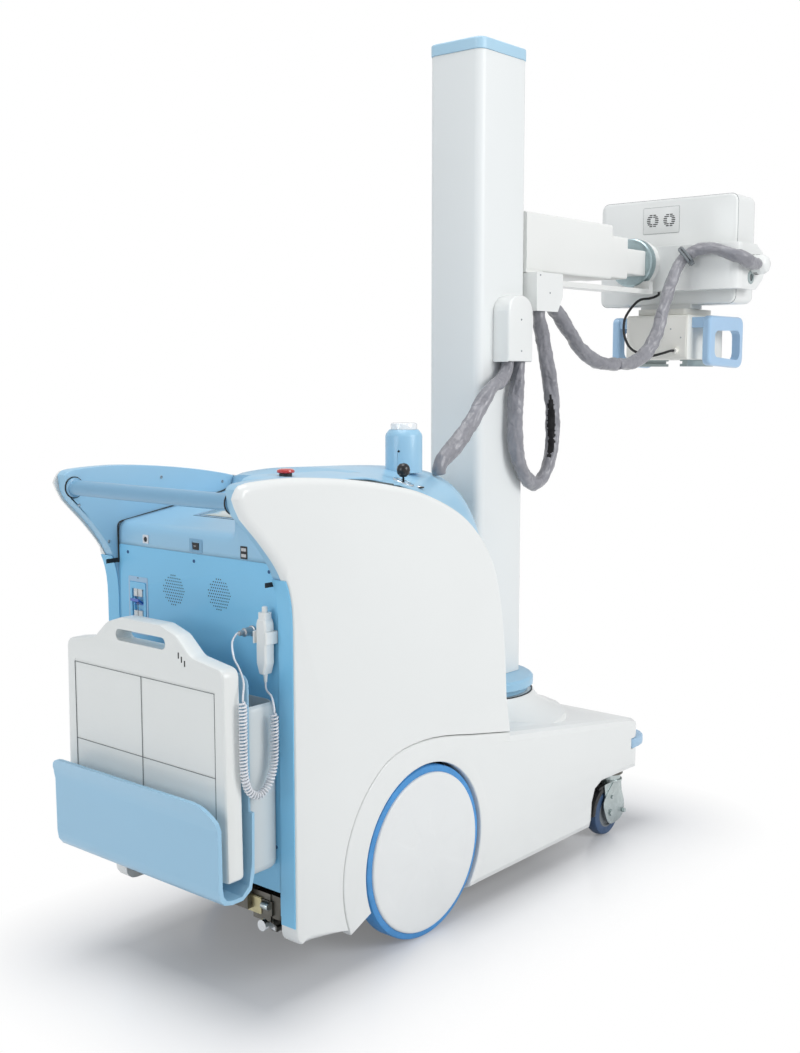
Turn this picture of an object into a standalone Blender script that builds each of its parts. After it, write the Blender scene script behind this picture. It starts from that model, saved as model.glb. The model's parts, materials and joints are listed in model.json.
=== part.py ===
"""Mobile radiography unit: a wheeled cart with a turning column, a telescopic arm and a tube head.

Metres, +Z up, +X forward (towards the column and the tube head), +Y to the cart's left.
Distances along X are written from the rear face of the flat detector, and one empty
carries everything back so that the origin is the middle of the object's footprint.
"""
import bmesh
import bpy
from math import atan2, cos, pi, radians, sin
from mathutils import Matrix, Vector

# Overall frame
X_MID = 1.0495  # from the detector's rear face to the middle of the footprint
Y_MID = -0.0380  # from the cart's centre plane to the middle of the footprint
TOUCH = 0.0003  # gap between pieces that touch
SEAM = 0.002  # gap between neighbouring covers
SLIDE = 0.0005  # gap around a sliding piece
BORE = 0.0003  # radial gap of a shaft in its bore

# Cart body
HALF_WIDTH = 0.285
LINER_FACE = HALF_WIDTH - 0.042
LINER_SPLIT = HALF_WIDTH - 0.017
PANEL_WALL = 0.005
REAR_X = 0.140
REAR_PANEL_BOTTOM = 0.212
REAR_PANEL_TOP = 0.8622
COVER_WALL = 0.004
SHOULDER_Y = -0.125
BEACON = Vector((0.680, -0.100, 1.0125))
LEVER = Vector((0.560, -0.200, 1.0000))
LEVER_ROD_R = 0.0024
ESTOP = Vector((0.235, -0.170, 1.0330))
ESTOP_STEM_R = 0.009
ESTOP_TRAVEL = 0.004
GLAND = Vector((0.790, -0.115, 0.9900))
ROCKER_Y = -0.008
ROCKER_Z = 0.878
BREAKER = Vector((REAR_X, LINER_FACE - 0.064, 0.737))
PEDAL = Vector((0.190, -0.206, 0.122))
PEDAL_END = Vector((0.1195, PEDAL.y, 0.143))

# Wheels
WHEEL_X = 0.539
WHEEL_R = 0.190
RIM_R = WHEEL_R - 0.0145
TYRE_IN = HALF_WIDTH - 0.047
TYRE_OUT = HALF_WIDTH - 0.004
HUB_OUT = HALF_WIDTH + 0.001
AXLE_R = 0.0125
ARCH_R = WHEEL_R + 0.014
FENDER_R = WHEEL_R + 0.075
FENDER_INNER = HALF_WIDTH - 0.059
WHEEL_SIDES = 30

# Casters
CASTER_X = 1.370
CASTER_Y = HALF_WIDTH - 0.0425
CASTER_TRAIL = 0.035
CASTER_R = 0.0625
CASTER_HALF_WIDTH = 0.0155
CASTER_BOLT_R = 0.005
CASTER_TOP = 0.160

# Base fairing
BASE_FRONT = 1.469
BASE_LOW = 0.055
BASE_LIP = 0.163
BASE_WALL = 0.005
BASE_TOP = [(0.729, 0.404), (1.391, 0.309)]
DECK_Z = (0.182, 0.192)
BUMPER_FRONT = 1.515
BUMPER_BACK = 1.4060
BUMPER_Z = (0.2235, 0.2500)

# Column
COLUMN_X = 1.0865
COLUMN_DEPTH = 0.196
COLUMN_WIDTH = 0.1625
COLUMN_CORNER = 0.022
COLUMN_WALL = 0.006
COLUMN_FOOT = 0.4515
SLOT_HALF = 0.036
PEDESTAL_R = 0.105
PEDESTAL_TOP = 0.4097
TURNTABLE_R = 0.152
HOOD_X = (1.043, 1.146)
HOOD_Y = (-0.131, -COLUMN_WIDTH / 2 - TOUCH)
HOOD_Z = (1.251, 1.415)
HOSE_TOP = HOOD_Z[0] + 0.013  # where both hoses end against the clamp inside the hood

# Arm
ARM_START = COLUMN_X + COLUMN_DEPTH / 2 + SEAM
ARM_END = 1.600
ARM_Z = (1.482, 1.630)
COLUMN_RISE = 0.3617  # column above the arm
CAP_THICK = 0.0283
COLUMN_TOP = ARM_Z[1] + COLUMN_RISE
CAP_TOP = COLUMN_TOP + CAP_THICK
ARM_HALF = 0.080
ARM_WALL = 0.005
MID_X = (1.262, 1.700)
MID_Z = (ARM_Z[0] + ARM_WALL + SLIDE, ARM_Z[1] - 0.027)
MID_HALF = 0.070
TIP_X = (1.330, 1.8347)
TIP_Z = (ARM_Z[0] + 0.023, ARM_Z[0] + 0.095)
TIP_HALF = 0.050
TRAY_Z = (ARM_Z[0] - 0.052, ARM_Z[0] - 0.016)
TRAY_Y = (-0.062, -0.012)
UPPER_X = (ARM_START + 0.001, 1.306)
UPPER_Y = (-0.112, -0.006)
UPPER_Z = (ARM_Z[0] - 0.102, ARM_Z[0] - 0.0045)

# Head
ROLL_Z = ARM_Z[0] + 0.063
ROLL_R = 0.070
DISC_X = (TIP_X[1] + TOUCH, TIP_X[1] + 0.0273)
FLANGE_X = (DISC_X[1] + TOUCH, DISC_X[1] + 0.023)
YOKE_X = (FLANGE_X[1], FLANGE_X[1] + 0.038)
YOKE_Z = (ROLL_Z - 0.083, ROLL_Z + 0.047)
BACK_DEPTH = 0.080  # the rear shell of the housing
FRONT_DEPTH = 0.055  # the front shell of the housing
HEAD_BACK = YOKE_X[1] + 0.027
HEAD_SEAM = HEAD_BACK + BACK_DEPTH
HEAD_FRONT = HEAD_SEAM + FRONT_DEPTH
HEAD_Y = (-0.277, 0.173)
HEAD_Z = (1.424, 1.737)
PORT = Vector((HEAD_SEAM - 0.012, -0.0525, HEAD_Z[0] - 0.0003))
TERMINAL = Vector((HEAD_BACK + 0.035, HEAD_Y[0] - TOUCH, 1.532))
TERMINAL_R = 0.028

# Collimator
COLLIMATOR_TOP = 1.3935
COLLIMATOR_LOW = 1.2620
COLLIMATOR_X = (PORT.x - 0.113, PORT.x + 0.113)
COLLIMATOR_Y = (PORT.y - 0.1025, PORT.y + 0.1025)
CABLE_BOSS = Vector((COLLIMATOR_X[0] - 0.016, -0.119, 1.288))
KNOB_Y = (PORT.y - 0.055, PORT.y + 0.055)
KNOB_Z = 1.352
HANDLE_OUT = 0.062
HANDLE_X = (COLLIMATOR_X[0] + 0.020, COLLIMATOR_X[1] + 0.014)
HANDLE_Z = (1.236, 1.390)

# Detector, bin and storage box
DETECTOR_HALF = 0.247
DETECTOR_X = (-0.0005, 0.0395)
DETECTOR_LOW = 0.272
DETECTOR_WINDOW = ((-0.076, 0.6975), (0.076, 0.7210))
BIN_HALF = 0.252
BIN_LIP = 0.436
BIN_CORNER = 0.050
BACK_HALF = 0.243
BOX_X = (0.0665, REAR_X)
BOX_TOP = 0.602

# Hand switch
HANDSET = Vector((0.1225, -0.2235, 0.704))
COIL_R = 0.0068
CORD_R = 0.00175
CONNECTOR = Vector((0.1395, -0.172, 0.727))

# Sleeved hoses and the black lead
SLEEVE_R = 0.0165
LEAD_R = 0.0038

WHITE = ((0.80, 0.81, 0.79), 0.30, 0.0)
BLUE = ((0.36, 0.58, 0.80), 0.35, 0.0)
BRIGHT_BLUE = ((0.10, 0.38, 0.74), 0.55, 0.0)
STEEL = ((0.45, 0.46, 0.47), 0.40, 0.9)
ZINC = ((0.62, 0.66, 0.66), 0.35, 0.9)
DARK = ((0.03, 0.03, 0.035), 0.50, 0.0)
WARM = ((0.72, 0.72, 0.69), 0.45, 0.0)
SLEEVE = ((0.26, 0.25, 0.29), 0.60, 0.0)
RED = ((0.70, 0.02, 0.02), 0.35, 0.0)
SLATE = ((0.07, 0.13, 0.25), 0.60, 0.0)


for old in list(bpy.data.objects):
    bpy.data.objects.remove(old)

CART = bpy.data.objects.new("cart_origin", None)
CART.location = (-X_MID, -Y_MID, 0)
bpy.context.collection.objects.link(CART)


# Outlines

def smooth(points, per=4):
    """Points on a smooth curve through the given ones."""
    out = []
    for i in range(len(points) - 1):
        a = Vector(points[max(i - 1, 0)])
        b = Vector(points[i])
        c = Vector(points[i + 1])
        d = Vector(points[min(i + 2, len(points) - 1)])
        for k in range(per):
            t = k / per
            out.append(tuple(0.5 * (2 * b + (c - a) * t + (2 * a - 5 * b + 4 * c - d) * t**2
                                    + (3 * b - a - 3 * c + d) * t**3)))
    out.append(tuple(points[-1]))
    return out


def arc(centre, radius, start, end, steps):
    """Points on an arc, with its angles in degrees."""
    out = []
    for k in range(steps + 1):
        a = radians(start + (end - start) * k / steps)
        out.append((centre[0] + radius * cos(a), centre[1] + radius * sin(a)))
    return out


def round_rect(low, high, radius, steps=3):
    """A rectangle with round corners, anticlockwise."""
    (u0, v0), (u1, v1) = low, high
    out = arc((u1 - radius, v1 - radius), radius, 0, 90, steps)
    out += arc((u0 + radius, v1 - radius), radius, 90, 180, steps)
    out += arc((u0 + radius, v0 + radius), radius, 180, 270, steps)
    return out + arc((u1 - radius, v0 + radius), radius, 270, 360, steps)


def round_path(points, radius, steps=3):
    """A polygon with its corners rounded; a point may carry its own radius."""
    out = []
    for i, point in enumerate(points):
        here = Vector(point[:2])
        before = Vector(points[i - 1][:2]) - here
        after = Vector(points[(i + 1) % len(points)][:2]) - here
        r = point[2] if len(point) > 2 else radius
        half = before.angle(after) / 2
        reach = r / max(sin(half) / cos(half), 1e-6) if r else 0
        if not r:
            out.append(tuple(here))
            continue
        centre = here + (before.normalized() + after.normalized()).normalized() * (r / sin(half))
        a = here + before.normalized() * reach - centre
        b = here + after.normalized() * reach - centre
        turn = a.angle(b)
        sign = 1 if a.x * b.y - a.y * b.x > 0 else -1
        begin = atan2(a.y, a.x)
        for k in range(steps + 1):
            t = begin + sign * turn * k / steps
            out.append((centre.x + r * cos(t), centre.y + r * sin(t)))
    return out


def inset(loop, distance):
    """A closed outline moved inwards along its corner normals."""
    area = sum(a[0] * b[1] - b[0] * a[1] for a, b in zip(loop, loop[1:] + loop[:1]))
    side = 1 if area > 0 else -1
    out = []
    for i, point in enumerate(loop):
        here = Vector(point)
        e1 = (here - Vector(loop[i - 1])).normalized()
        e2 = (Vector(loop[(i + 1) % len(loop)]) - here).normalized()
        n1 = Vector((-e1.y, e1.x)) * side
        n2 = Vector((-e2.y, e2.x)) * side
        m = (n1 + n2).normalized()
        out.append(tuple(here + m * distance / max(m.dot(n1), 0.3)))
    return out


# Solids

PLANES = {"x": lambda u, v, w: (w, u, v), "y": lambda u, v, w: (u, w, v), "z": lambda u, v, w: (u, v, w)}


def loft(rings):
    """A closed solid through rings of equal length, capped at both ends."""
    bm = bmesh.new()
    rows = [[bm.verts.new(p) for p in ring] for ring in rings]
    n = len(rows[0])
    for lower, upper in zip(rows, rows[1:]):
        for i in range(n):
            j = (i + 1) % n
            bm.faces.new((lower[i], lower[j], upper[j], upper[i]))
    bm.faces.new(list(reversed(rows[0])))
    bm.faces.new(rows[-1])
    bmesh.ops.recalc_face_normals(bm, faces=bm.faces)
    return bm


def prism(loop, axis, low, high):
    """An outline drawn out along an axis."""
    place = PLANES[axis]
    return loft([[place(u, v, w) for u, v in loop] for w in (low, high)])


def slab(loop, axis, low, high, radius, steps=3, both=False):
    """A prism whose high end, or both ends, has a rounded rim."""
    place = PLANES[axis]
    sign = 1 if high > low else -1
    rim = []
    for k in range(steps + 1):
        a = pi / 2 * k / steps
        rim.append((radius * (1 - cos(a)), high - sign * radius * (1 - sin(a))))
    ends = [(0.0, low)]
    if both:
        ends = [(d, low + high - w) for d, w in reversed(rim)]
    levels = ends + rim
    return loft([[place(u, v, w) for u, v in inset(loop, d)] for d, w in levels])


def box(low, high):
    """A plain block between two corners."""
    loop = [(low[0], low[1]), (high[0], low[1]), (high[0], high[1]), (low[0], high[1])]
    return prism(loop, "z", low[2], high[2])


def soft_box(low, high, radius, axis="z", rim=0.0, steps=3):
    """A block with round corners about one axis, and a rounded rim at both ends."""
    pick = {"x": (1, 2, 0), "y": (0, 2, 1), "z": (0, 1, 2)}[axis]
    a, b, c = pick
    loop = round_rect((low[a], low[b]), (high[a], high[b]), radius, steps)
    if rim:
        return slab(loop, axis, low[c], high[c], rim, 2, both=True)
    return prism(loop, axis, low[c], high[c])


def turned(profile, axis, centre, sides=24):
    """A solid of revolution; the profile runs (radius, height), and closes on the axis or on itself."""
    bm = bmesh.new()
    place = PLANES[axis]
    shift = Vector(centre)
    ring = profile[0][0] > 0 and profile[-1][0] > 0
    rows = []
    for r, h in profile:
        count = sides if r > 0 else 1
        row = []
        for k in range(count):
            a = 2 * pi * k / sides
            row.append(bm.verts.new(Vector(place(r * cos(a), r * sin(a), h)) + shift))
        rows.append(row)
    pairs = list(zip(rows, rows[1:]))
    if ring:
        pairs.append((rows[-1], rows[0]))
    for lower, upper in pairs:
        for k in range(sides):
            j = (k + 1) % sides
            face = [lower[k % len(lower)], lower[j % len(lower)], upper[j % len(upper)],
                    upper[k % len(upper)]]
            face = list(dict.fromkeys(face))
            if len(face) > 2:
                bm.faces.new(face)
    bmesh.ops.recalc_face_normals(bm, faces=bm.faces)
    return bm


def rod(axis, centre, radius, low, high, sides=16):
    """A plain cylinder along an axis; low and high are distances from the centre."""
    return turned([(0, low), (radius, low), (radius, high), (0, high)], axis, centre, sides)


def temporary(bm):
    mesh = bpy.data.meshes.new("temporary")
    bm.to_mesh(mesh)
    bm.free()
    item = bpy.data.objects.new("temporary", mesh)
    bpy.context.collection.objects.link(item)
    return item


def combine(first, second, operation):
    """One exact boolean between two solids, used up by it."""
    a = temporary(first)
    b = temporary(second)
    mod = a.modifiers.new("cut", "BOOLEAN")
    mod.operation = operation
    mod.solver = "EXACT"
    mod.object = b
    graph = bpy.context.evaluated_depsgraph_get()
    result = bmesh.new()
    result.from_mesh(a.evaluated_get(graph).to_mesh())
    for item in (a, b):
        bpy.data.objects.remove(item)
    bmesh.ops.remove_doubles(result, verts=result.verts, dist=0.00002)
    bmesh.ops.dissolve_degenerate(result, edges=result.edges, dist=0.00002)
    return result


def union(first, *others):
    for other in others:
        first = combine(first, other, "UNION")
    return first


def cut(first, *others):
    for other in others:
        first = combine(first, other, "DIFFERENCE")
    return first


def mirrored(bm):
    """The same solid on the other side of the cart."""
    bmesh.ops.transform(bm, matrix=Matrix.Diagonal((1, -1, 1, 1)), verts=bm.verts)
    bmesh.ops.reverse_faces(bm, faces=bm.faces)
    return bm


def paint(name, look):
    colour, rough, metal = look
    mat = bpy.data.materials.new(name)
    mat.use_nodes = True
    shader = mat.node_tree.nodes["Principled BSDF"]
    shader.inputs["Base Color"].default_value = (*colour, 1)
    shader.inputs["Roughness"].default_value = rough
    shader.inputs["Metallic"].default_value = metal
    return mat


def add(name, bm, look, pivot=(0, 0, 0), sharp=35):
    """A finished sub-part, with its origin on the pivot that it turns about."""
    bmesh.ops.translate(bm, verts=bm.verts, vec=-Vector(pivot))
    mesh = bpy.data.meshes.new(name)
    bm.to_mesh(mesh)
    bm.free()
    mesh.shade_smooth()
    mesh.set_sharp_from_angle(angle=radians(sharp))
    mesh.materials.append(paint(name, look))
    item = bpy.data.objects.new(name, mesh)
    item.location = pivot
    item.parent = CART
    bpy.context.collection.objects.link(item)
    return item


def cord(name, points, radius, look, spacing=3.0, sides=2):
    """A tube on a smooth curve through the route's own points."""
    route = [Vector(p) for p in smooth(points, 12)]
    start = route[0] + (Vector(points[1]) - route[0]).normalized() * radius * 0.6
    end = route[-1] + (Vector(points[-2]) - route[-1]).normalized() * radius * 0.6
    total = sum((b - a).length for a, b in zip(route, route[1:]))
    count = max(2, round(total / (2 * radius * spacing)))
    places = []
    run = 0.0
    target = 0.0
    for a, b in zip(route, route[1:]):
        step = (b - a).length
        while target <= run + step + 1e-9 and len(places) < count:
            places.append(a.lerp(b, (target - run) / step if step else 0))
            target += total / count
        run += step
    places = [places[0], start] + places[1:] + [end, route[-1]]
    curve = bpy.data.curves.new(name, "CURVE")
    curve.dimensions = "3D"
    curve.bevel_depth = radius
    curve.bevel_resolution = sides
    curve.use_fill_caps = True
    line = curve.splines.new("POLY")
    line.points.add(len(places) - 1)
    for slot, place in zip(line.points, places):
        slot.co = (*place, 1)
    curve.materials.append(paint(name, look))
    item = bpy.data.objects.new(name, curve)
    item.parent = CART
    bpy.context.collection.objects.link(item)
    return item


# Cart body outlines, seen from the side as (distance forward, height)

WHEEL = (WHEEL_X, WHEEL_R)
PANEL_TOP = [(0.000, 1.000), (0.010, 1.018), (0.034, 1.027), (0.130, 1.030), (0.222, 1.025), (0.320, 1.015),
             (0.424, 0.999), (0.535, 0.974), (0.653, 0.926), (0.729, 0.870), (0.782, 0.802), (0.810, 0.727),
             (0.832, 0.603), (0.841, 0.480), (0.847, 0.405)]
PANEL_REAR = [(0.139, 0.700), (0.136, 0.790), (0.114, 0.853), (0.060, 0.920), (0.018, 0.963), (0.000, 1.000)]
WING_FRONT = 0.285


def panel_outline():
    """The white side panel with its wing, wheel arch and curved front edge."""
    arch = arc(WHEEL, FENDER_R + SEAM, 120, 200, 6)
    foot = [(0.183, 0.111)] + arc((0.165, 0.137), 0.026, 270, 180, 2)
    loop = smooth(PANEL_TOP, 2) + [(0.690, 0.426), (0.537, 0.443), (0.457, 0.437)] + arch
    return loop + [(0.291, 0.097)] + foot + smooth(PANEL_REAR, 2)[:-1]


def side_panel(side):
    name = "side_panel_right" if side < 0 else "side_panel_left"
    loop = panel_outline()
    shell = slab(loop, "y", -LINER_FACE - TOUCH, -HALF_WIDTH, 0.016, 2)
    hollow = inset(loop, PANEL_WALL + 0.009)
    shell = cut(shell, prism(hollow, "y", -LINER_FACE + 0.01, -HALF_WIDTH + PANEL_WALL))
    wing = [(-0.05, 1.10), (WING_FRONT, 1.10), (WING_FRONT, 0.955), (REAR_X + 0.006, 0.900),
            (REAR_X + 0.006, 0.640), (-0.05, 0.640)]
    shell = cut(shell, prism(wing, "y", -LINER_FACE + 0.01, -LINER_SPLIT))
    for height in (0.30, 0.62):
        rib = box((REAR_X + 0.02, -HALF_WIDTH + PANEL_WALL - 0.002, height),
                  (REAR_X + 0.10, -LINER_FACE - 0.004, height + 0.006))
        shell = union(shell, rib)
    if side > 0:
        shell = mirrored(shell)
    add(name, shell, WHITE)


def wing_outline():
    """The blue liner on the inner face of a wing."""
    top = smooth(PANEL_TOP, 2)[:10]
    loop = [p for p in inset(smooth(PANEL_TOP, 2) + [(0.80, 0.5), (0.139, 0.5)] + smooth(PANEL_REAR,
                                                                                         2)[:-1], 0.003)]
    tail = smooth(PANEL_REAR, 2)[:-1]
    return loop[:len(top)] + [(0.272, 0.958), (REAR_X - 0.0015, 0.915),
                              (REAR_X - 0.0015, 0.655)] + loop[-len(tail) + 1:]


def wing_liner(side):
    name = "wing_liner_right" if side < 0 else "wing_liner_left"
    plate = slab(wing_outline(), "y", -LINER_SPLIT + TOUCH, -LINER_FACE, 0.004, 2)
    if side > 0:
        plate = mirrored(plate)
    add(name, plate, BLUE)


# Blue centre cover: sections from the right edge to the left one

EDGE_FRONT = [(0.500, 0.993), (0.600, 0.960), (0.690, 0.912), (0.755, 0.852), (0.798, 0.778), (0.824, 0.690),
              (0.842, 0.560), (0.851, 0.396)]
CREST_FRONT = [(0.515, 1.018), (0.640, 1.013), (0.740, 1.000), (0.832, 0.966), (0.892, 0.900), (0.914, 0.800),
               (0.915, 0.640), (0.911, 0.392)]
CONSOLE = [(REAR_X, 0.8625), (REAR_X, 0.897), (0.150, 0.911), (0.290, 0.931), (0.430, 0.952), (0.462, 0.960),
           (0.474, 1.000)]
SHOULDER = [(REAR_X, 0.8625), (REAR_X, 0.960), (0.150, 1.008), (0.185, 1.026), (0.300, 1.024), (0.400, 1.022),
            (0.474, 1.020)]


def cover_section(y):
    """The centre cover's line at one place across the cart."""
    away = min(abs(y) / (LINER_FACE - SEAM), 1.0)
    crown = 1 - away**2.5
    front = [tuple(Vector(e).lerp(Vector(c), crown)) for e, c in zip(EDGE_FRONT, CREST_FRONT)]
    rear = SHOULDER if y < SHOULDER_Y + 0.001 else CONSOLE
    drop = 0.016 * away**2.5 if rear is SHOULDER else 0.0
    rear = [(x, z - (drop if z > 0.97 else 0)) for x, z in rear]
    last_x, last_z = rear[-1]
    rear[-1] = (last_x, min(last_z, front[0][1] + 0.002))
    return rear + front


def body_shell():
    half = LINER_FACE - SEAM
    stations = [-half, -0.92 * half, -0.75 * half, SHOULDER_Y, SHOULDER_Y + 0.012, -0.055, 0.030, 0.110,
                0.75 * half, 0.92 * half, half]
    bm = bmesh.new()
    rows = []
    for y in stations:
        rows.append([bm.verts.new((x, y, z)) for x, z in cover_section(y)])
    for lower, upper in zip(rows, rows[1:]):
        for i in range(len(lower) - 1):
            bm.faces.new((lower[i], lower[i + 1], upper[i + 1], upper[i]))
    bmesh.ops.recalc_face_normals(bm, faces=bm.faces)
    if sum((f.normal.z for f in bm.faces)) < 0:
        bmesh.ops.reverse_faces(bm, faces=bm.faces)
    skin = temporary(bm)
    mod = skin.modifiers.new("wall", "SOLIDIFY")
    mod.thickness = COVER_WALL
    mod.offset = -1
    mod.use_even_offset = True
    graph = bpy.context.evaluated_depsgraph_get()
    shell = bmesh.new()
    shell.from_mesh(skin.evaluated_get(graph).to_mesh())
    bpy.data.objects.remove(skin)
    bosses = [
        rod("z", BEACON, 0.047, -0.030, -TOUCH, 18),
        rod("z", LEVER, 0.011, -0.022, -0.0060, 12),
        rod("z", ESTOP, 0.0195, -0.016, -TOUCH, 14),
        rod("z", GLAND, 0.024, -0.030, -TOUCH, 14),
    ]
    shell = union(shell, *bosses)
    slot = box((LEVER.x - 0.0060, LEVER.y - LEVER_ROD_R - 0.0008, LEVER.z - 0.0160),
               (LEVER.x + 0.0060, LEVER.y + LEVER_ROD_R + 0.0008, LEVER.z))
    well = rod("z", ESTOP, ESTOP_STEM_R + 0.0006, -ESTOP_TRAVEL - 0.002, 0.01, 12)
    window = box((REAR_X - 0.002, ROCKER_Y - 0.0099, ROCKER_Z - 0.0085),
                 (REAR_X + 0.010, ROCKER_Y + 0.0099, ROCKER_Z + 0.0085))
    shell = cut(shell, slot, well, window)
    add("body_shell", shell, BLUE)


def top_controls():
    """The beacon, the emergency stop, the ball lever and the power rocker."""
    beacon = turned([(0, 0), (0.042, 0), (0.042, 0.070), (0.032, 0.084), (0.0285, 0.084), (0.0285, 0.100),
                     (0.025, 0.1035), (0, 0.1035)], "z", BEACON, 20)
    add("beacon_post", beacon, BLUE)
    stop = turned([(0, 0), (0.0165, 0), (0.0175, 0.003), (0.0175, 0.0095), (0.0150, 0.0120), (0, 0.0130)],
                  "z", ESTOP + Vector((0, 0, 0.0055)), 20)
    stem = rod("z", ESTOP, ESTOP_STEM_R, -0.001, 0.008, 12)
    add("estop_button", union(stop, stem), RED, tuple(ESTOP))
    pivot = LEVER + Vector((0, 0, -0.009))
    arm = rod("z", pivot, LEVER_ROD_R, -0.005, 0.012, 10)
    ball = turned([(0, 0), (0.007, 0.001), (0.0135, 0.008), (0.0148, 0.0155), (0.0130, 0.0235),
                   (0.0080, 0.0290),
                   (0, 0.0305)], "z", pivot + Vector((0, 0, 0.0105)), 16)
    add("drive_lever", union(ball, arm), DARK, tuple(pivot))
    face = REAR_X - 0.0005
    key = prism([(face, ROCKER_Z - 0.0072), (face + 0.0065, ROCKER_Z - 0.0072),
                 (face + 0.0065, ROCKER_Z + 0.0072),
                 (face - 0.0030, ROCKER_Z + 0.0072), (face - 0.0010, ROCKER_Z)], "y", ROCKER_Y - 0.0095,
                ROCKER_Y + 0.0095)
    add("power_rocker", key, DARK, (face + 0.004, ROCKER_Y, ROCKER_Z))


def rear_panel():
    """The flat rear panel, with the breaker's window and its raised frame."""
    loop = round_rect((-LINER_FACE + SEAM, REAR_PANEL_BOTTOM), (LINER_FACE - SEAM, REAR_PANEL_TOP), 0.004, 2)
    plate = prism(loop, "x", REAR_X, REAR_X + COVER_WALL)
    frame = soft_box((REAR_X - 0.0025, BREAKER.y - 0.026, BREAKER.z - 0.048),
                     (REAR_X + 0.010, BREAKER.y + 0.026, BREAKER.z + 0.048), 0.004, "x")
    plate = union(plate, frame)
    window = box((REAR_X - 0.01, BREAKER.y - 0.0190, BREAKER.z - 0.034),
                 (REAR_X + 0.006, BREAKER.y + 0.0190, BREAKER.z + 0.034))
    plate = cut(plate, window)
    block = box((REAR_X + 0.0005, BREAKER.y - 0.0180, BREAKER.z - 0.030),
                (REAR_X + 0.0065, BREAKER.y + 0.0180, BREAKER.z + 0.030))
    slot = box((REAR_X - 0.004, BREAKER.y - 0.0145, BREAKER.z - 0.013),
               (REAR_X + 0.0062, BREAKER.y + 0.0145, BREAKER.z + 0.017))
    plate = cut(union(plate, block), slot)
    add("rear_panel", plate, BLUE)


def breaker_toggle():
    """Two toggle arms with a tie bar between them, on one axis."""
    pivot = Vector((REAR_X + 0.0030, BREAKER.y, BREAKER.z + 0.002))
    toggle = rod("y", pivot, 0.0028, -0.0135, 0.0135, 12)
    for y in (-0.0085, 0.0085):
        arm = prism([(pivot.x, pivot.z + 0.0025), (pivot.x, pivot.z - 0.0025),
                     (pivot.x - 0.012, pivot.z + 0.0070),
                     (pivot.x - 0.012, pivot.z + 0.0115)], "y", BREAKER.y + y - 0.0035,
                     BREAKER.y + y + 0.0035)
        toggle = union(toggle, arm)
    tie = box((pivot.x - 0.0150, BREAKER.y - 0.0135, pivot.z + 0.0065),
              (pivot.x - 0.0115, BREAKER.y + 0.0135, pivot.z + 0.0125))
    add("breaker_toggle", union(toggle, tie), ((0.02, 0.08, 0.50), 0.4, 0.0), tuple(pivot))


def handle_bar():
    """The push bar between the wings, with a flange at each end."""
    end = LINER_FACE - TOUCH
    profile = [(0, -end), (0.0205, -end), (0.0205, -end + 0.006), (0.0160, -end + 0.008),
               (0.0160, end - 0.008),
               (0.0205, end - 0.006), (0.0205, end), (0, end)]
    add("handle_bar", turned(profile, "y", (0.030, 0, 0.990), 18), BLUE)


# Base and running gear

def base_outline():
    """The fairing with the fender over the rear wheel, seen from the side."""
    fender = arc(WHEEL, FENDER_R, 203, 120, 5)
    roof = [(0.457, 0.4335), (0.537, 0.4395), (0.640, 0.4275)] + BASE_TOP
    nose = [(1.431, 0.301), (1.458, 0.283), (BASE_FRONT, 0.255), (BASE_FRONT, 0.178), (1.464, 0.167),
            (1.452, BASE_LIP)]
    gap = [(1.268, BASE_LIP + 0.002), (1.238, 0.152), (1.225, 0.122), (1.222, 0.075), (1.212, BASE_LOW)]
    wheel = arc(WHEEL, ARCH_R, -41.4, 205, 13)
    return fender + roof + nose + gap + wheel


def base_height(x):
    (x0, z0), (x1, z1) = BASE_TOP
    return z0 + (z1 - z0) * (x - x0) / (x1 - x0)


def base_cover():
    loop = base_outline()
    shell = slab(loop, "y", -HALF_WIDTH, HALF_WIDTH, 0.018, 2, both=True)
    plan = round_path([(0.20, -0.30, 0), (BASE_FRONT, -HALF_WIDTH - 0.0001, 0.055),
                       (BASE_FRONT, HALF_WIDTH + 0.0001, 0.055),
                       (0.20, 0.30, 0)], 0, 4)
    shell = combine(shell, prism(plan, "z", -0.1, 0.6), "INTERSECT")
    side = HALF_WIDTH - BASE_WALL
    inner = BASE_FRONT - BASE_WALL
    core = slab(inset(loop, BASE_WALL), "y", -side, side, 0.013, 1, both=True)
    floor = box((0.724, -side, BASE_LOW - 0.02), (1.2130, side, BASE_LOW + 0.010))
    belly = box((1.2740, -side, BASE_LIP - 0.02), (inner, side, BASE_LIP + 0.010))
    plan_in = round_path([(0.20, -side - 0.001, 0), (inner, -side - 0.001, 0.050), (inner, side + 0.001,
                                                                                    0.050),
                          (0.20, side + 0.001, 0)], 0, 4)
    core = combine(union(core, floor, belly), prism(plan_in, "z", -0.1, 0.6), "INTERSECT")
    middle = box((0.20, -FENDER_INNER, -0.1), (0.800, FENDER_INNER, 0.50))
    shell = cut(shell, core, middle)
    top = base_height(COLUMN_X)
    plinth = turned([(PEDESTAL_R + 0.004, top - 0.040), (0.248, top - 0.040), (0.236, top - 0.001),
                     (0.205, top + 0.008),
                     (0.176, top + 0.024), (0.159, top + 0.043), (0.152, 0.4085),
                     (PEDESTAL_R + 0.004, 0.4085)],
                    "z", (COLUMN_X, 0, 0), 24)
    shell = union(shell, plinth)
    bore = rod("z", (COLUMN_X, 0, 0), PEDESTAL_R + 0.003, 0.25, 0.45, 20)
    below = turned([(0, 0.26), (0.225, 0.26), (0.225, top - 0.026), (0.160, top + 0.010), (0.140, 0.4030),
                    (0, 0.4030)],
                   "z", (COLUMN_X, 0, 0), 20)
    notch = box((BUMPER_BACK - TOUCH, -0.30, BUMPER_Z[0] - TOUCH), (1.50, 0.30, BUMPER_Z[1] + SEAM))
    add("base_cover", cut(shell, bore, below, notch), WHITE)


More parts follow.
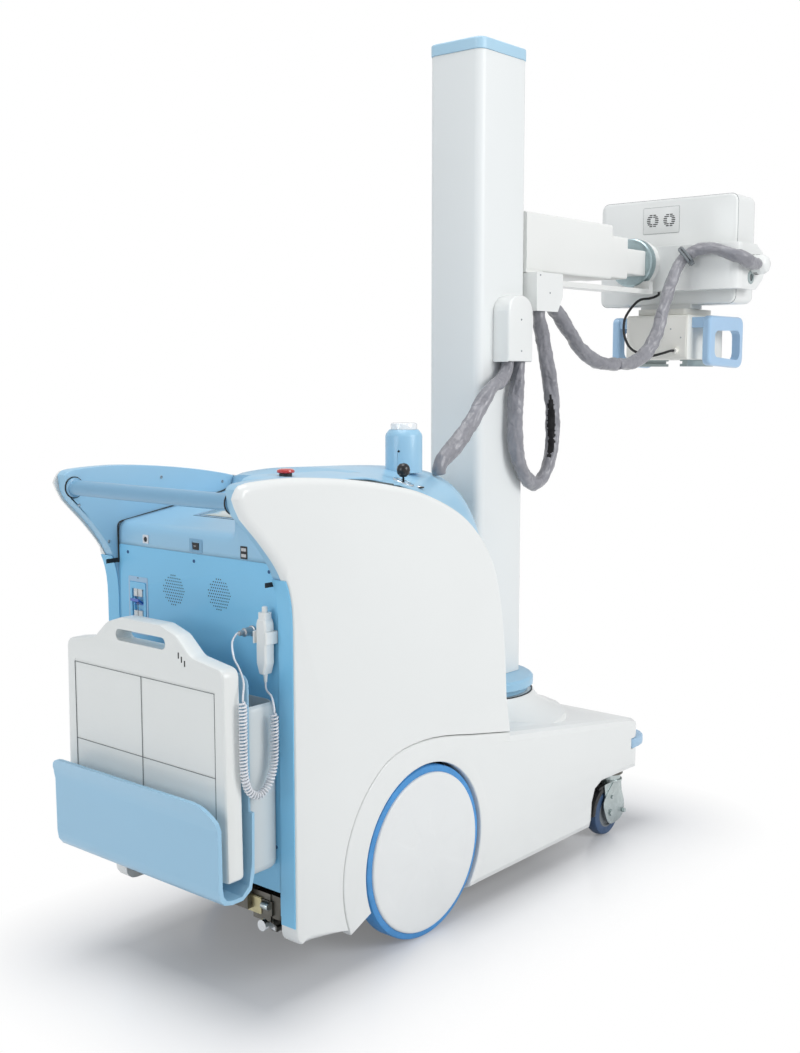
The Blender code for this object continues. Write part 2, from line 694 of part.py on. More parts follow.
def front_bumper():
    half = HALF_WIDTH + 0.004
    loop = round_path([(BUMPER_BACK, -half, 0.009), (BUMPER_FRONT, -half, 0.075), (BUMPER_FRONT, half, 0.075),
                       (BUMPER_BACK, half, 0.009)], 0, 5)
    bar = slab(loop, "z", BUMPER_Z[0], BUMPER_Z[1], 0.006, 2, both=True)
    inside = HALF_WIDTH - 0.050
    inner = round_path([(1.39, -inside, 0.004), (1.455, -inside, 0.02), (1.455, inside, 0.02),
                        (1.39, inside, 0.004)], 0, 3)
    add("front_bumper", cut(bar, prism(inner, "z", 0.2, 0.3)), BLUE)


def base_frame():
    """Rails, cross members, column pedestal, stub axles, caster seats and the pedal's bracket."""
    steel = box((0.165, -0.150, DECK_Z[0]), (1.235, 0.150, DECK_Z[1]))
    for y in (-0.165, 0.165):
        steel = union(steel, box((0.160, y - 0.025, 0.130), (1.205, y + 0.025, 0.1895)),
                      box((1.180, y - 0.025, 0.1770), (1.400, y + 0.025, 0.2060)))
    for x, half in ((0.175, -PEDAL.y + 0.019), (0.800, HALF_WIDTH - BASE_WALL - TOUCH)):
        steel = union(steel, box((x - 0.012, -half, 0.140), (x + 0.028, half, 0.1885)))
    for y in (-0.12, 0.12):
        steel = union(steel, box((REAR_X + COVER_WALL + TOUCH, y - 0.02, 0.150), (0.185, y + 0.02, 0.250)))
    steel = union(steel, box((1.290, -CASTER_Y - 0.0195, 0.1695), (1.436, CASTER_Y + 0.0195, 0.2060)))
    foot = turned([(0, 0.185), (0.150, 0.185), (0.150, 0.198), (PEDESTAL_R, 0.210),
                   (PEDESTAL_R, PEDESTAL_TOP),
                   (0, PEDESTAL_TOP)], "z", (COLUMN_X, 0, 0), 20)
    steel = union(steel, foot)
    for side in (-1, 1):
        ear_y = side * (TYRE_IN - 0.033)
        ends = sorted((side * (TYRE_IN - 0.028), side * (TYRE_IN + 0.026)))
        ear = box((WHEEL_X - 0.035, ear_y - 0.018, 0.150), (WHEEL_X + 0.035, ear_y + 0.018, 0.229))
        stub = rod("y", (WHEEL_X, 0, WHEEL_R), AXLE_R, *ends, 16)
        seat = rod("z", (CASTER_X, side * CASTER_Y, 0), 0.034, CASTER_TOP + TOUCH, 0.170, 16)
        steel = union(steel, ear, stub, seat)
    for y in (PEDAL.y - 0.016, PEDAL.y + 0.016):
        steel = union(steel, box((0.165, y - 0.0025, PEDAL.z - 0.010), (0.215, y + 0.0025, 0.150)))
    plate = box((0.1575, PEDAL.y + 0.010, 0.146), (0.1640, -0.095, 0.176))
    steel = union(steel, cut(plate, rod("x", (0, -0.135, 0.161), 0.005, 0.150, 0.170, 12)))
    add("base_frame", steel, STEEL)


def brake_pedal():
    """The foot rod that parks the rear wheels, on a pivot between two ears."""
    pin = rod("y", PEDAL, 0.006, -0.0132, 0.0132, 12)
    (x, y, z), (end, _, top) = PEDAL, PEDAL_END
    loop = [(x + 0.006, z - 0.006), (x + 0.006, z + 0.006), (x - 0.030, z + 0.005),
            (end + 0.0175, top + 0.0045), (end + 0.0075, top + 0.0045), (end + 0.0075, top - 0.0045),
            (end + 0.0145, top - 0.0045), (x - 0.033, z - 0.005)]
    arm = prism(round_path(loop, 0.002, 2), "y", y - 0.005, y + 0.005)
    pad = rod("x", (0, y, top), 0.0115, end, end + 0.0095, 16)
    add("brake_pedal", union(pin, arm, pad), ZINC, tuple(PEDAL))


def wheel(side):
    tag = "right" if side < 0 else "left"
    centre = (WHEEL_X, 0, WHEEL_R)
    tyre = turned([(RIM_R + BORE, TYRE_IN), (WHEEL_R - 0.005, TYRE_IN), (WHEEL_R, TYRE_IN + 0.009),
                   (WHEEL_R, TYRE_OUT - 0.009), (WHEEL_R - 0.005, TYRE_OUT), (RIM_R + BORE, TYRE_OUT)],
                   "y", centre, WHEEL_SIDES)
    hub = hub_solid(centre)
    if side < 0:
        tyre = mirrored(tyre)
        hub = mirrored(hub)
    add("tyre_" + tag, tyre, BRIGHT_BLUE, centre)
    add("hub_" + tag, hub, WHITE, centre)


def hub_solid(centre):
    """The wheel disc with its rim, its boss and a blind bore for the stub axle."""
    disc = turned([(0, TYRE_IN), (0.040, TYRE_IN), (0.046, TYRE_IN + 0.024),
                   (RIM_R - 0.0175, TYRE_IN + 0.028), (RIM_R - 0.0095, TYRE_IN + 0.002),
                   (RIM_R, TYRE_IN + 0.002), (RIM_R, HUB_OUT - 0.005), (RIM_R - 0.006, HUB_OUT - 0.001),
                   (0, HUB_OUT + 0.0035)], "y", centre, WHEEL_SIDES)
    return cut(disc, rod("y", centre, AXLE_R + BORE, TYRE_IN - 0.038, TYRE_IN + 0.0265, 16))


def caster(side):
    tag = "right" if side < 0 else "left"
    x0, y0 = CASTER_X, side * CASTER_Y
    xw = x0 - CASTER_TRAIL
    swivel = (x0, y0, 0)
    head = rod("z", swivel, 0.028, 0.1440, CASTER_TOP, 20)
    yoke = box((xw - 0.010, y0 - 0.0225, 0.134), (x0 + 0.018, y0 + 0.0225, 0.1445))
    fork = union(head, yoke)
    loop = round_path([(x0 + 0.018, 0.1440, 0.003), (xw - 0.028, 0.1440, 0.004),
                       (xw - 0.014, CASTER_R - 0.006, 0.008),
                       (xw + 0.012, CASTER_R - 0.014, 0.008)], 0.003, 2)
    for y in (y0 - 0.0225, y0 + 0.0195):
        fork = union(fork, prism(loop, "y", y, y + 0.003))
    bolt = rod("y", (xw, y0, CASTER_R), CASTER_BOLT_R, -0.0270, 0.0270, 12)
    fork = union(fork, bolt)
    add("caster_fork_" + tag, fork, ZINC, (x0, y0, CASTER_TOP))
    half = CASTER_HALF_WIDTH
    tyre = turned([(CASTER_BOLT_R + BORE, -half - 0.002), (0.016, -half - 0.002), (0.020, -half + 0.004),
                   (0.045, -half),
                   (0.056, -half), (CASTER_R, -0.006), (CASTER_R, 0.006), (0.056, half), (0.045, half),
                   (0.020, half - 0.004), (0.016, half + 0.002), (CASTER_BOLT_R + BORE, half + 0.002)],
                  "y", (xw, y0, CASTER_R), 20)
    add("caster_wheel_" + tag, tyre, SLATE, (xw, y0, CASTER_R))
    hinge = (xw - 0.020, y0, 0.1380)
    pedal = rod("y", hinge, 0.004, -0.0190, 0.0190, 10)
    pad = prism(round_path([(hinge[0] - 0.030, 0.1330), (hinge[0] + 0.001, 0.1362),
                            (hinge[0] + 0.001, 0.1420), (hinge[0] - 0.028, 0.1400)],
                           0.0015, 2), "y", y0 - 0.0190, y0 + 0.0190)
    add("caster_brake_" + tag, union(pedal, pad), DARK, hinge)


def power_unit():
    """Generator and batteries in one steel cabinet on the deck."""
    case = soft_box((0.215, -0.180, DECK_Z[1] + TOUCH), (0.520, 0.180, 0.640), 0.010, "z")
    for y in (-0.10, 0.10):
        case = union(case, box((0.240, y - 0.012, 0.636), (0.500, y + 0.012, 0.652)))
    add("power_unit", case, STEEL)


# Column and arm

def column_parts():
    low = (COLUMN_X - COLUMN_DEPTH / 2, -COLUMN_WIDTH / 2)
    high = (COLUMN_X + COLUMN_DEPTH / 2, COLUMN_WIDTH / 2)
    table = turned([(0, PEDESTAL_TOP + TOUCH), (0.138, PEDESTAL_TOP + TOUCH), (0.138, 0.4225),
                    (TURNTABLE_R, 0.4255),
                    (TURNTABLE_R, 0.4440), (TURNTABLE_R - 0.006, 0.4490), (0.118, COLUMN_FOOT - TOUCH),
                    (0, COLUMN_FOOT - TOUCH)],
                   "z", (COLUMN_X, 0, 0), 28)
    add("turntable", table, BLUE, (COLUMN_X, 0, 0))
    outer = prism(round_rect(low, high, COLUMN_CORNER, 4), "z", COLUMN_FOOT, COLUMN_TOP)
    wall = COLUMN_WALL
    inner = prism(round_rect((low[0] + wall, low[1] + wall), (high[0] - wall, high[1] - wall),
                             COLUMN_CORNER - wall, 2),
                  "z", COLUMN_FOOT - 0.01, COLUMN_TOP + 0.01)
    slot = box((COLUMN_X, -SLOT_HALF, COLUMN_FOOT - 0.02), (COLUMN_X + 0.2, SLOT_HALF, COLUMN_TOP + 0.02))
    add("column", cut(outer, inner, slot), WHITE, (COLUMN_X, 0, 0))
    edge = round_rect((low[0] - 0.002, low[1] - 0.002), (high[0] + 0.002, high[1] + 0.002),
                      COLUMN_CORNER + 0.002, 4)
    add("column_cap", slab(edge, "z", COLUMN_TOP + TOUCH, CAP_TOP, 0.004, 2), BLUE, (COLUMN_X, 0, 0))


def hood_lower():
    """The arched cable hood on the column's side, open underneath."""
    mid = (HOOD_X[0] + HOOD_X[1]) / 2
    half = (HOOD_X[1] - HOOD_X[0]) / 2
    top = arc((mid, HOOD_Z[1] - 0.040), half, 0, 180, 10)
    top = [(x, HOOD_Z[1] - 0.040 + (z - HOOD_Z[1] + 0.040) * 0.040 / half) for x, z in top]
    loop = [(HOOD_X[0], HOOD_Z[0]), (HOOD_X[1], HOOD_Z[0])] + top
    solid = slab(loop, "y", HOOD_Y[1], HOOD_Y[0], 0.006, 2)
    inside = box((HOOD_X[0] + 0.004, HOOD_Y[0] + 0.004, HOOD_Z[0] - 0.02),
                 (HOOD_X[1] - 0.004, HOOD_Y[1] - 0.004, HOSE_TOP + TOUCH))
    add("hood_lower", cut(solid, inside), WHITE, (COLUMN_X, 0, 0))


def tube_section(x, z, half, wall, corner, tail_wall=True):
    """A rectangular arm section, open at its front end."""
    outer = prism(round_rect((-half, z[0]), (half, z[1]), corner, 3), "x", x[0], x[1])
    inner = prism(round_rect((-half + wall, z[0] + wall), (half - wall, z[1] - wall),
                             max(corner - wall, 0.002), 2), "x",
                  x[0] + (wall if tail_wall else -0.01), x[1] + 0.01)
    return cut(outer, inner)


def arm_parts():
    arm = tube_section((ARM_START, ARM_END), ARM_Z, ARM_HALF, ARM_WALL, 0.008)
    neck = box((COLUMN_X + 0.055, -SLOT_HALF + SLIDE, ARM_Z[0] + 0.004),
               (ARM_START + 0.003, SLOT_HALF - SLIDE, ARM_Z[1] - 0.004))
    block = box((COLUMN_X - 0.060, -0.066, ARM_Z[0] - 0.045), (COLUMN_X + 0.060, 0.066, ARM_Z[1] + 0.045))
    arm = union(arm, neck, block)
    lug = box((ARM_START, -0.078, ARM_Z[0] - 0.004), (ARM_START + 0.075, -0.010, ARM_Z[0] + 0.004))
    add("arm_carriage", union(arm, lug), WHITE, (COLUMN_X, 0, 0))
    mid = tube_section(MID_X, MID_Z, MID_HALF, 0.004, 0.006, False)
    add("arm_middle", mid, WHITE)
    tip = tube_section(TIP_X, TIP_Z, TIP_HALF, 0.004, 0.005, False)
    shoe = box((TIP_X[0], -0.0640, MID_Z[0] + 0.004 + SLIDE), (TIP_X[0] + 0.060, 0.0640, TIP_Z[0] + 0.002))
    add("arm_tip", union(tip, shoe), WHITE)


def hood_upper():
    """The cable hood under the arm, open below and to the front for the tray."""
    loop = [(UPPER_X[0], UPPER_Z[1]), (UPPER_X[0], UPPER_Z[0]), (UPPER_X[1] - 0.022, UPPER_Z[0]),
            (UPPER_X[1], UPPER_Z[0] + 0.040), (UPPER_X[1], UPPER_Z[1])]
    solid = prism(round_path(loop, 0.004, 2), "y", UPPER_Y[0], UPPER_Y[1])
    low = [(x, z if z > UPPER_Z[0] + 0.01 else UPPER_Z[0] - 0.02) for x, z in inset(loop, 0.004)]
    hollow = prism(low, "y", UPPER_Y[0] + 0.004, UPPER_Y[1] - 0.004)
    door = box((UPPER_X[1] - 0.03, TRAY_Y[0] - 0.003, TRAY_Z[0] - 0.003),
               (UPPER_X[1] + 0.02, TRAY_Y[1] + 0.003, TRAY_Z[1] + 0.003))
    exit_hole = box((UPPER_X[1] - 0.045, UPPER_Y[0] + 0.004, UPPER_Z[0] - 0.02),
                    (UPPER_X[1] + 0.02, -0.066, UPPER_Z[0] + 0.052))
    clamp = box((1.214, UPPER_Y[0] + 0.002, 1.3950 + TOUCH), (1.252, -0.068, UPPER_Z[1] - 0.002))
    add("hood_upper", union(cut(solid, hollow, door, exit_hole), clamp), WHITE)


def trunnion():
    """The fixed disc at the arm's end, with the cable tray under the arm."""
    centre = (0, 0, ROLL_Z)
    disc = turned([(0, DISC_X[0]), (ROLL_R - 0.003, DISC_X[0]), (ROLL_R, DISC_X[0] + 0.003),
                   (ROLL_R, DISC_X[1]), (0, DISC_X[1])],
                  "x", centre, 28)
    hanger = box((DISC_X[0] + 0.002, TRAY_Y[0], TRAY_Z[0]), (DISC_X[1] - 0.002, TRAY_Y[1], ROLL_Z - 0.055))
    tray = box((1.316, TRAY_Y[0], TRAY_Z[0]), (DISC_X[1] - 0.002, TRAY_Y[1], TRAY_Z[1]))
    channel = box((1.30, TRAY_Y[0] + 0.003, TRAY_Z[0] + 0.003), (DISC_X[0] - 0.02, TRAY_Y[1] - 0.003,
                                                                 TRAY_Z[1] + 0.01))
    add("trunnion", union(disc, hanger, cut(tray, channel)), ZINC)


# Head

def yoke():
    """The turning flange and the curved plate that carries the housing."""
    centre = (0, 0, ROLL_Z)
    flange = turned([(0, FLANGE_X[0]), (ROLL_R, FLANGE_X[0]), (ROLL_R, FLANGE_X[1] - 0.003),
                     (ROLL_R - 0.003, FLANGE_X[1]),
                     (0, FLANGE_X[1])], "x", centre, 28)
    low, high = YOKE_Z
    tip = HEAD_SEAM + 0.028
    loop = [(YOKE_X[0] - 0.003, 0.078, 0.006), (YOKE_X[0] - 0.003, -0.318, 0.030), (tip, -0.318, 0.004),
            (tip, -0.3075, 0.004),
            (YOKE_X[1] + 0.010, -0.3075, 0.006), (YOKE_X[1], -0.285, 0.010), (YOKE_X[1], 0.078, 0.006)]
    plate = prism(round_path(loop, 0.004, 3), "z", low, high)
    side = [(YOKE_X[0] - 0.01, low - 0.005, 0), (tip - 0.063, low - 0.005, 0),
            (tip - 0.004, ROLL_Z - 0.046, 0.026), (tip - 0.004, ROLL_Z + 0.020, 0.026),
            (tip - 0.068, high + 0.005, 0), (YOKE_X[0] - 0.01, high + 0.005, 0)]
    plate = combine(plate, prism(round_path(side, 0, 4), "y", -0.4, 0.2), "INTERSECT")
    pads = [box((YOKE_X[1] - 0.004, y - 0.030, ROLL_Z - 0.045), (HEAD_BACK - TOUCH, y + 0.030,
                                                                 ROLL_Z + 0.030)) for y in (0.030, -0.150)]
    plate = union(plate, *pads)
    hole = rod("y", (TERMINAL.x, 0, TERMINAL.z), TERMINAL_R + 0.002, -0.40, -0.29, 20)
    add("yoke", cut(union(flange, plate), hole), WHITE, (0, 0, ROLL_Z))


def housing():
    """The two shells of the tube housing and the port under them."""
    loop = round_rect((HEAD_Y[0], HEAD_Z[0]), (HEAD_Y[1], HEAD_Z[1]), 0.022, 4)
    back = slab(loop, "x", HEAD_SEAM - SEAM, HEAD_BACK, 0.010, 2)
    back = cut(back, prism(inset(loop, 0.006), "x", HEAD_BACK + 0.006, HEAD_SEAM + 0.01))
    ring = cut(prism(inset(loop, 0.0035), "x", HEAD_SEAM - SEAM - 0.001, HEAD_SEAM - TOUCH),
               prism(inset(loop, 0.0060), "x", HEAD_SEAM - 0.01, HEAD_SEAM + 0.01))
    back = union(back, ring)
    front_loop = inset(loop, 0.001)
    front = slab(front_loop, "x", HEAD_SEAM, HEAD_FRONT, 0.020, 3)
    front = cut(front, prism(inset(front_loop, 0.005), "x", HEAD_SEAM - 0.01, HEAD_FRONT - 0.022))
    tube_x = HEAD_SEAM - 0.010
    tube = rod("y", (tube_x, 0, ROLL_Z + 0.012), 0.055, HEAD_Y[0] + 0.062, HEAD_Y[1] - 0.063, 16)
    leg = box((HEAD_BACK + 0.004, HEAD_Y[0] + 0.062, ROLL_Z - 0.030), (tube_x, HEAD_Y[1] - 0.063,
                                                                       ROLL_Z + 0.030))
    back = union(back, tube, leg)
    plate = soft_box((PORT.x - 0.062, PORT.y - 0.085, 1.4125), (PORT.x + 0.008, PORT.y + 0.085,
                                                                HEAD_Z[0] + 0.004), 0.004, "z")
    collar = turned([(0, COLLIMATOR_TOP + TOUCH), (0.058, COLLIMATOR_TOP + TOUCH), (0.058, 1.4135),
                     (0, 1.4135)], "z",
                    (PORT.x, PORT.y, 0), 24)
    back = union(back, plate, collar)
    pivot = (0, 0, ROLL_Z)
    add("housing_back", back, WHITE, pivot)
    notch = box((HEAD_SEAM - 0.01, PORT.y - 0.087, HEAD_Z[0] - 0.02), (PORT.x + 0.060, PORT.y + 0.087,
                                                                       HEAD_Z[0] + 0.0062))
    lift = cut(front, notch)
    clear = rod("y", (tube_x, 0, ROLL_Z + 0.012), 0.059, HEAD_Y[0] + 0.060, HEAD_Y[1] - 0.061, 16)
    add("housing_front", cut(lift, clear), WHITE, pivot)
    end = turned([(0, 0), (TERMINAL_R, 0), (TERMINAL_R, -0.070), (TERMINAL_R - 0.006, -0.081),
                  (TERMINAL_R - 0.016, -0.087), (0, -0.088)],
                 "y", TERMINAL - Vector((0, TOUCH, 0)), 24)
    add("cable_terminal", end, WHITE, pivot)


def collimator():
    """The collimator box with its rear cover line, window and accessory rails."""
    (x0, x1), (y0, y1) = COLLIMATOR_X, COLLIMATOR_Y
    body = soft_box((x0, y0, COLLIMATOR_LOW), (x1, y1, COLLIMATOR_TOP), 0.008, "y", 0.004)
    window = box((PORT.x - 0.055, PORT.y - 0.055, COLLIMATOR_LOW - 0.01), (PORT.x + 0.055, PORT.y + 0.055,
                                                                           COLLIMATOR_LOW + 0.020))
    body = cut(body, window)
    for y in (PORT.y - 0.088, PORT.y + 0.064):
        web = box((x0 + 0.030, y, COLLIMATOR_LOW - 0.020), (x1 - 0.030, y + 0.024, COLLIMATOR_LOW + 0.004))
        groove_y = y + 0.024 if y < PORT.y else y
        groove = box((x0, groove_y - 0.008, COLLIMATOR_LOW - 0.012), (x1, groove_y + 0.008,
                                                                      COLLIMATOR_LOW - 0.004))
        body = union(body, cut(web, groove))
    boss = rod("x", (0, CABLE_BOSS.y, CABLE_BOSS.z), 0.009, CABLE_BOSS.x, x0 + 0.005, 14)
    shafts = [rod("x", (0, y, KNOB_Z), 0.004, x1 - 0.004, x1 + 0.012, 12) for y in KNOB_Y]
    add("collimator", union(body, boss, *shafts), WARM, (PORT.x, PORT.y, COLLIMATOR_TOP))


def collimator_handle(side):
    """A D-shaped grab handle that stands off the collimator's side."""
    tag = "right" if side < 0 else "left"
    face = COLLIMATOR_Y[0] if side < 0 else COLLIMATOR_Y[1]
    inner = face + side * TOUCH
    outer = face + side * HANDLE_OUT
    (x0, x1), (z0, z1) = HANDLE_X, HANDLE_Z
    frame = round_path([(x0, z0 + 0.010, 0.020), (x1, z0, 0.030), (x1, z1, 0.024), (x0, z1, 0.018)], 0.02, 4)
    bar = slab(frame, "y", outer - side * 0.026, outer, 0.007, 2, both=True)
    hole = round_path([(x0 + 0.032, z0 + 0.034, 0.018), (x1 - 0.024, z0 + 0.024, 0.022),
                       (x1 - 0.024, z1 - 0.040, 0.022),
                       (x0 + 0.032, z1 - 0.044, 0.018)], 0.02, 3)
    bar = cut(bar, prism(hole, "y", face - 0.1, face + 0.1))
    foot = box((x0 + 0.006, min(inner, outer - side * 0.010), z1 - 0.034),
               (x1 - 0.030, max(inner, outer - side * 0.010), z1 - 0.004))
    add("collimator_handle_" + tag, union(bar, foot), BLUE, (PORT.x, PORT.y, COLLIMATOR_TOP))


def knob(side):
    tag = "right" if side < 0 else "left"
    y = KNOB_Y[0] if side < 0 else KNOB_Y[1]
    x = COLLIMATOR_X[1] + 0.002
    grip = turned([(0.0040 + BORE, x), (0.015, x), (0.0165, x + 0.003), (0.0150, x + 0.016),
                   (0.0130, x + 0.018), (0.0040 + BORE, x + 0.018)],
                  "x", (0, y, KNOB_Z), 20)
    ear = box((x + 0.001, y - 0.003, KNOB_Z + 0.012), (x + 0.015, y + 0.003, KNOB_Z + 0.0185))
    add("field_knob_" + tag, union(grip, ear), DARK, (x, y, KNOB_Z))


# Detector, its bin and the hand switch

def detector_outline():
    half = DETECTOR_HALF
    shoulder = 0.680
    crown = [(half - 0.006, shoulder, 0.018), (0.150, shoulder + 0.014, 0.030), (0.108, 0.730, 0.030),
             (0.060, 0.745, 0.030)]
    right = [(-y, z, r) for y, z, r in reversed(crown)]
    lower = [(-half, DETECTOR_LOW, 0.010), (half, DETECTOR_LOW, 0.010)]
    return round_path(crown + right + lower, 0.02, 3)


def flat_detector():
    """The flat detector in its carrier, with a hand hole in the arched top."""
    plate = slab(detector_outline(), "x", DETECTOR_X[0], DETECTOR_X[1], 0.006, 2, both=True)
    grip = prism(round_rect(*DETECTOR_WINDOW, 0.0112, 3), "x", DETECTOR_X[0] - 0.01, DETECTOR_X[1] + 0.01)
    frame = prism(round_rect((-0.215, 0.288), (0.215, 0.640), 0.003, 1), "x", DETECTOR_X[0] - 0.002,
                  DETECTOR_X[0] + 0.0012)
    add("flat_detector", cut(plate, grip, frame), WARM)


def detector_bin():
    """The open channel that the detector stands in, with a flared lip and a tall back."""
    outer = [(-0.0520, BIN_LIP), (-0.0475, BIN_LIP - 0.010), (-0.0360, 0.4030), (-0.0310, 0.3850),
             (-0.0300, 0.2720), (-0.0270, 0.2540), (-0.0170, 0.2410), (0.0020, 0.2360), (0.0300, 0.2360),
             (0.0520, 0.2500), (0.0600, 0.2800), (0.0620, 0.4000)]
    inner = [(0.0560, 0.4000), (0.0540, 0.3000), (0.0460, 0.2600), (0.0280, 0.2440), (0.0020, 0.2445),
             (-0.0110, 0.2480), (-0.0180, 0.2580), (-0.0205, 0.2740), (-0.0215, 0.3850), (-0.0260, 0.4020),
             (-0.0405, 0.4300), (-0.0455, BIN_LIP + 0.002)]
    tray = prism(outer + inner, "y", -BIN_HALF, BIN_HALF)
    for side in (-1, 1):
        y, z = side * (BIN_HALF - BIN_CORNER), BIN_LIP + 0.002 - BIN_CORNER
        curve = [(y + side * BIN_CORNER * cos(a), z + BIN_CORNER * sin(a)) for a in
                 [pi / 2 * k / 6 for k in range(7)]]
        corner = curve + [(y, z + 0.1), (y + side * 0.1, z + 0.1), (y + side * 0.1, z)]
        tray = cut(tray, prism(corner, "x", -0.08, -0.008))
    back = slab(round_rect((-BACK_HALF, 0.350), (BACK_HALF, 0.664), 0.020, 3), "x", 0.0565, 0.0615, 0.002,
                1, both=True)
    tray = union(tray, back)
    for y in (-0.15, 0.15):
        tray = union(tray, box((-0.002, y - 0.02, 0.243), (0.036, y + 0.02, DETECTOR_LOW - TOUCH)),
                     box((0.060, y - 0.02, 0.420), (BOX_X[0] - TOUCH, y + 0.02, 0.560)))
    add("detector_bin", tray, BLUE)


def storage_box():
    """The flat grey box behind the bin, open at its top."""
    x0, x1 = BOX_X
    right, left = -LINER_FACE + 0.007, LINER_FACE - 0.043
    rim = slab(round_rect((right, 0.262), (left, BOX_TOP), 0.020, 3), "x", x0, x1 - TOUCH, 0.012, 2,
               both=True)
    hollow = soft_box((x0 + 0.006, right + 0.008, 0.270), (x1 - 0.007, left - 0.008, 0.66), 0.008, "z")
    add("storage_box", cut(rim, hollow), WARM)


def hand_switch():
    """The exposure switch in its cradle, with its button, socket and curly cord."""
    x, y, z = HANDSET
    back = REAR_X - TOUCH
    cradle = soft_box((x - 0.016, y - 0.0190, z + 0.008), (back, y + 0.0190, z + 0.032), 0.003, "z")
    pocket = box((x - 0.03, y - 0.0147, z - 0.02), (x + 0.0131, y + 0.0147, z + 0.06))
    add("handset_cradle", cut(cradle, pocket), WHITE)
    body = round_path([(y - 0.0060, z - 0.052), (y + 0.0060, z - 0.052), (y + 0.0135, z - 0.030),
                       (y + 0.0135, z + 0.046), (y + 0.0100, z + 0.056),
                       (y - 0.0100, z + 0.056), (y - 0.0135, z + 0.046), (y - 0.0135, z - 0.030)], 0.003, 2)
    shell = slab(body, "x", x - 0.0125, x + 0.0125, 0.003, 1, both=True)
    collar = soft_box((x - 0.0100, y - 0.0100, z + 0.052), (x + 0.0100, y + 0.0100, z + 0.068), 0.004, "z")
    relief = turned([(0, z - 0.068), (0.0030, z - 0.068), (0.0048, z - 0.050), (0, z - 0.050)], "z",
                    (x, y, 0), 12)
    shell = union(shell, collar, relief)
    well = rod("z", (x, y, 0), 0.0062, z + 0.060, z + 0.070, 14)
    add("handset", cut(shell, well), WHITE)
    button = turned([(0, z + 0.0670), (0.0057, z + 0.0670), (0.0057, z + 0.0775), (0.0042, z + 0.0795),
                     (0, z + 0.0800)], "z", (x, y, 0), 14)
    add("handset_button", button, WHITE)
    cx, cy, cz = CONNECTOR
    plug = turned([(0, 0), (0.0105, 0), (0.0105, -0.004), (0.0085, -0.005), (0.0085, -0.024),
                   (0.0060, -0.026), (0.0050, -0.036), (0, -0.036)],
                  "x", CONNECTOR, 16)
    add("handset_connector", plug, STEEL)


# Cords: each route is the points of the curve that the cord follows

HAND_LEAD = [(0.1030, -0.1720, 0.7270), (0.0960, -0.1720, 0.7268), (0.0830, -0.1740, 0.7120),
             (0.0670, -0.1960, 0.6890),
             (0.0530, -0.2260, 0.6740), (0.0420, -0.2490, 0.6540), (0.0335, -0.2560, 0.6320),
             (0.0330, -0.2560, 0.6215)]
HAND_COIL = [(0.0330, -0.2560, 0.6210), (0.0330, -0.2560, 0.6050), (0.0325, -0.2560, 0.5450),
             (0.0340, -0.2560, 0.4800),
             (0.0465, -0.2560, 0.4450), (0.0700, -0.2560, 0.4325), (0.0940, -0.2560, 0.4450),
             (0.1095, -0.2560, 0.4800),
             (0.1130, -0.2560, 0.5300), (0.1130, -0.2560, 0.5700), (0.1130, -0.2560, 0.5830)]
HAND_TAIL = [(0.1130, -0.2560, 0.5835), (0.1130, -0.2560, 0.5920), (0.1160, -0.2460, 0.6120),
             (0.1210, -0.2290, 0.6190),
             (0.1225, -0.2235, 0.6270), (0.1225, -0.2235, 0.6355)]
BODY_HOSE = [(0.7900, -0.1150, 0.9905), (0.7900, -0.1150, 1.0030), (0.8060, -0.1140, 1.0230),
             (0.8450, -0.1130, 1.0480),
             (0.9100, -0.1130, 1.1010), (0.9850, -0.1130, 1.1800), (1.0450, -0.1080, 1.2080),
             (1.0710, -0.1045, 1.2380),
             (1.0710, -0.1045, HOSE_TOP)]
COLUMN_HOSE = [(1.1220, -0.1045, HOSE_TOP), (1.1220, -0.1045, 1.2450), (1.1060, -0.1070, 1.1570),
               (1.1060, -0.1070, 1.0570),
               (1.1390, -0.1050, 0.9800), (1.2020, -0.1000, 0.9380), (1.2640, -0.0950, 0.9700),
               (1.2980, -0.0900, 1.0400),
               (1.3000, -0.0870, 1.1530), (1.2640, -0.0860, 1.2830), (1.2360, -0.0870, 1.3580),
               (1.2360, -0.0870, 1.3950)]
ARM_HOSE = [(1.2720, -0.0870, 1.4250), (1.2860, -0.0870, 1.4020), (1.3270, -0.0900, 1.3690),
            (1.3640, -0.0950, 1.3310),
            (1.4130, -0.1020, 1.2860), (1.4700, -0.1090, 1.2570), (1.5100, -0.1160, 1.2480),
            (1.5600, -0.1250, 1.2480)]
HEAD_HOSE = [(1.5605, -0.1251, 1.2480), (1.6100, -0.1340, 1.2485), (1.6500, -0.1400, 1.2610),
             (1.6930, -0.1450, 1.2850),
             (1.7310, -0.1500, 1.3340), (1.7650, -0.1520, 1.4050), (1.8050, -0.1520, 1.4780),
             (1.8430, -0.1620, 1.5420),
             (1.8600, -0.2000, 1.5710), (1.8630, -0.2500, 1.5740), (1.8640, -0.3050, 1.5560),
             (1.8750, -0.3330, 1.5460),
             (1.9050, -0.3420, 1.5360), (1.9350, -0.3420, 1.5320), (1.9566, -0.3420, 1.5320)]
LIGHT_LEAD = [(1.9000, -0.0600, 1.4612), (1.8995, -0.0590, 1.4520), (1.8900, -0.0380, 1.4430),
              (1.8790, -0.0080, 1.4380),
              (1.8750, 0.0220, 1.4100), (1.8740, 0.0400, 1.3750), (1.8740, 0.0360, 1.3280),
              (1.8720, 0.0080, 1.2910),
              (1.8670, -0.0530, 1.2740), (1.8660, -0.0950, 1.2800), (1.8740, -0.1170, 1.2875),
              (1.8882, -0.1190, 1.2880)]


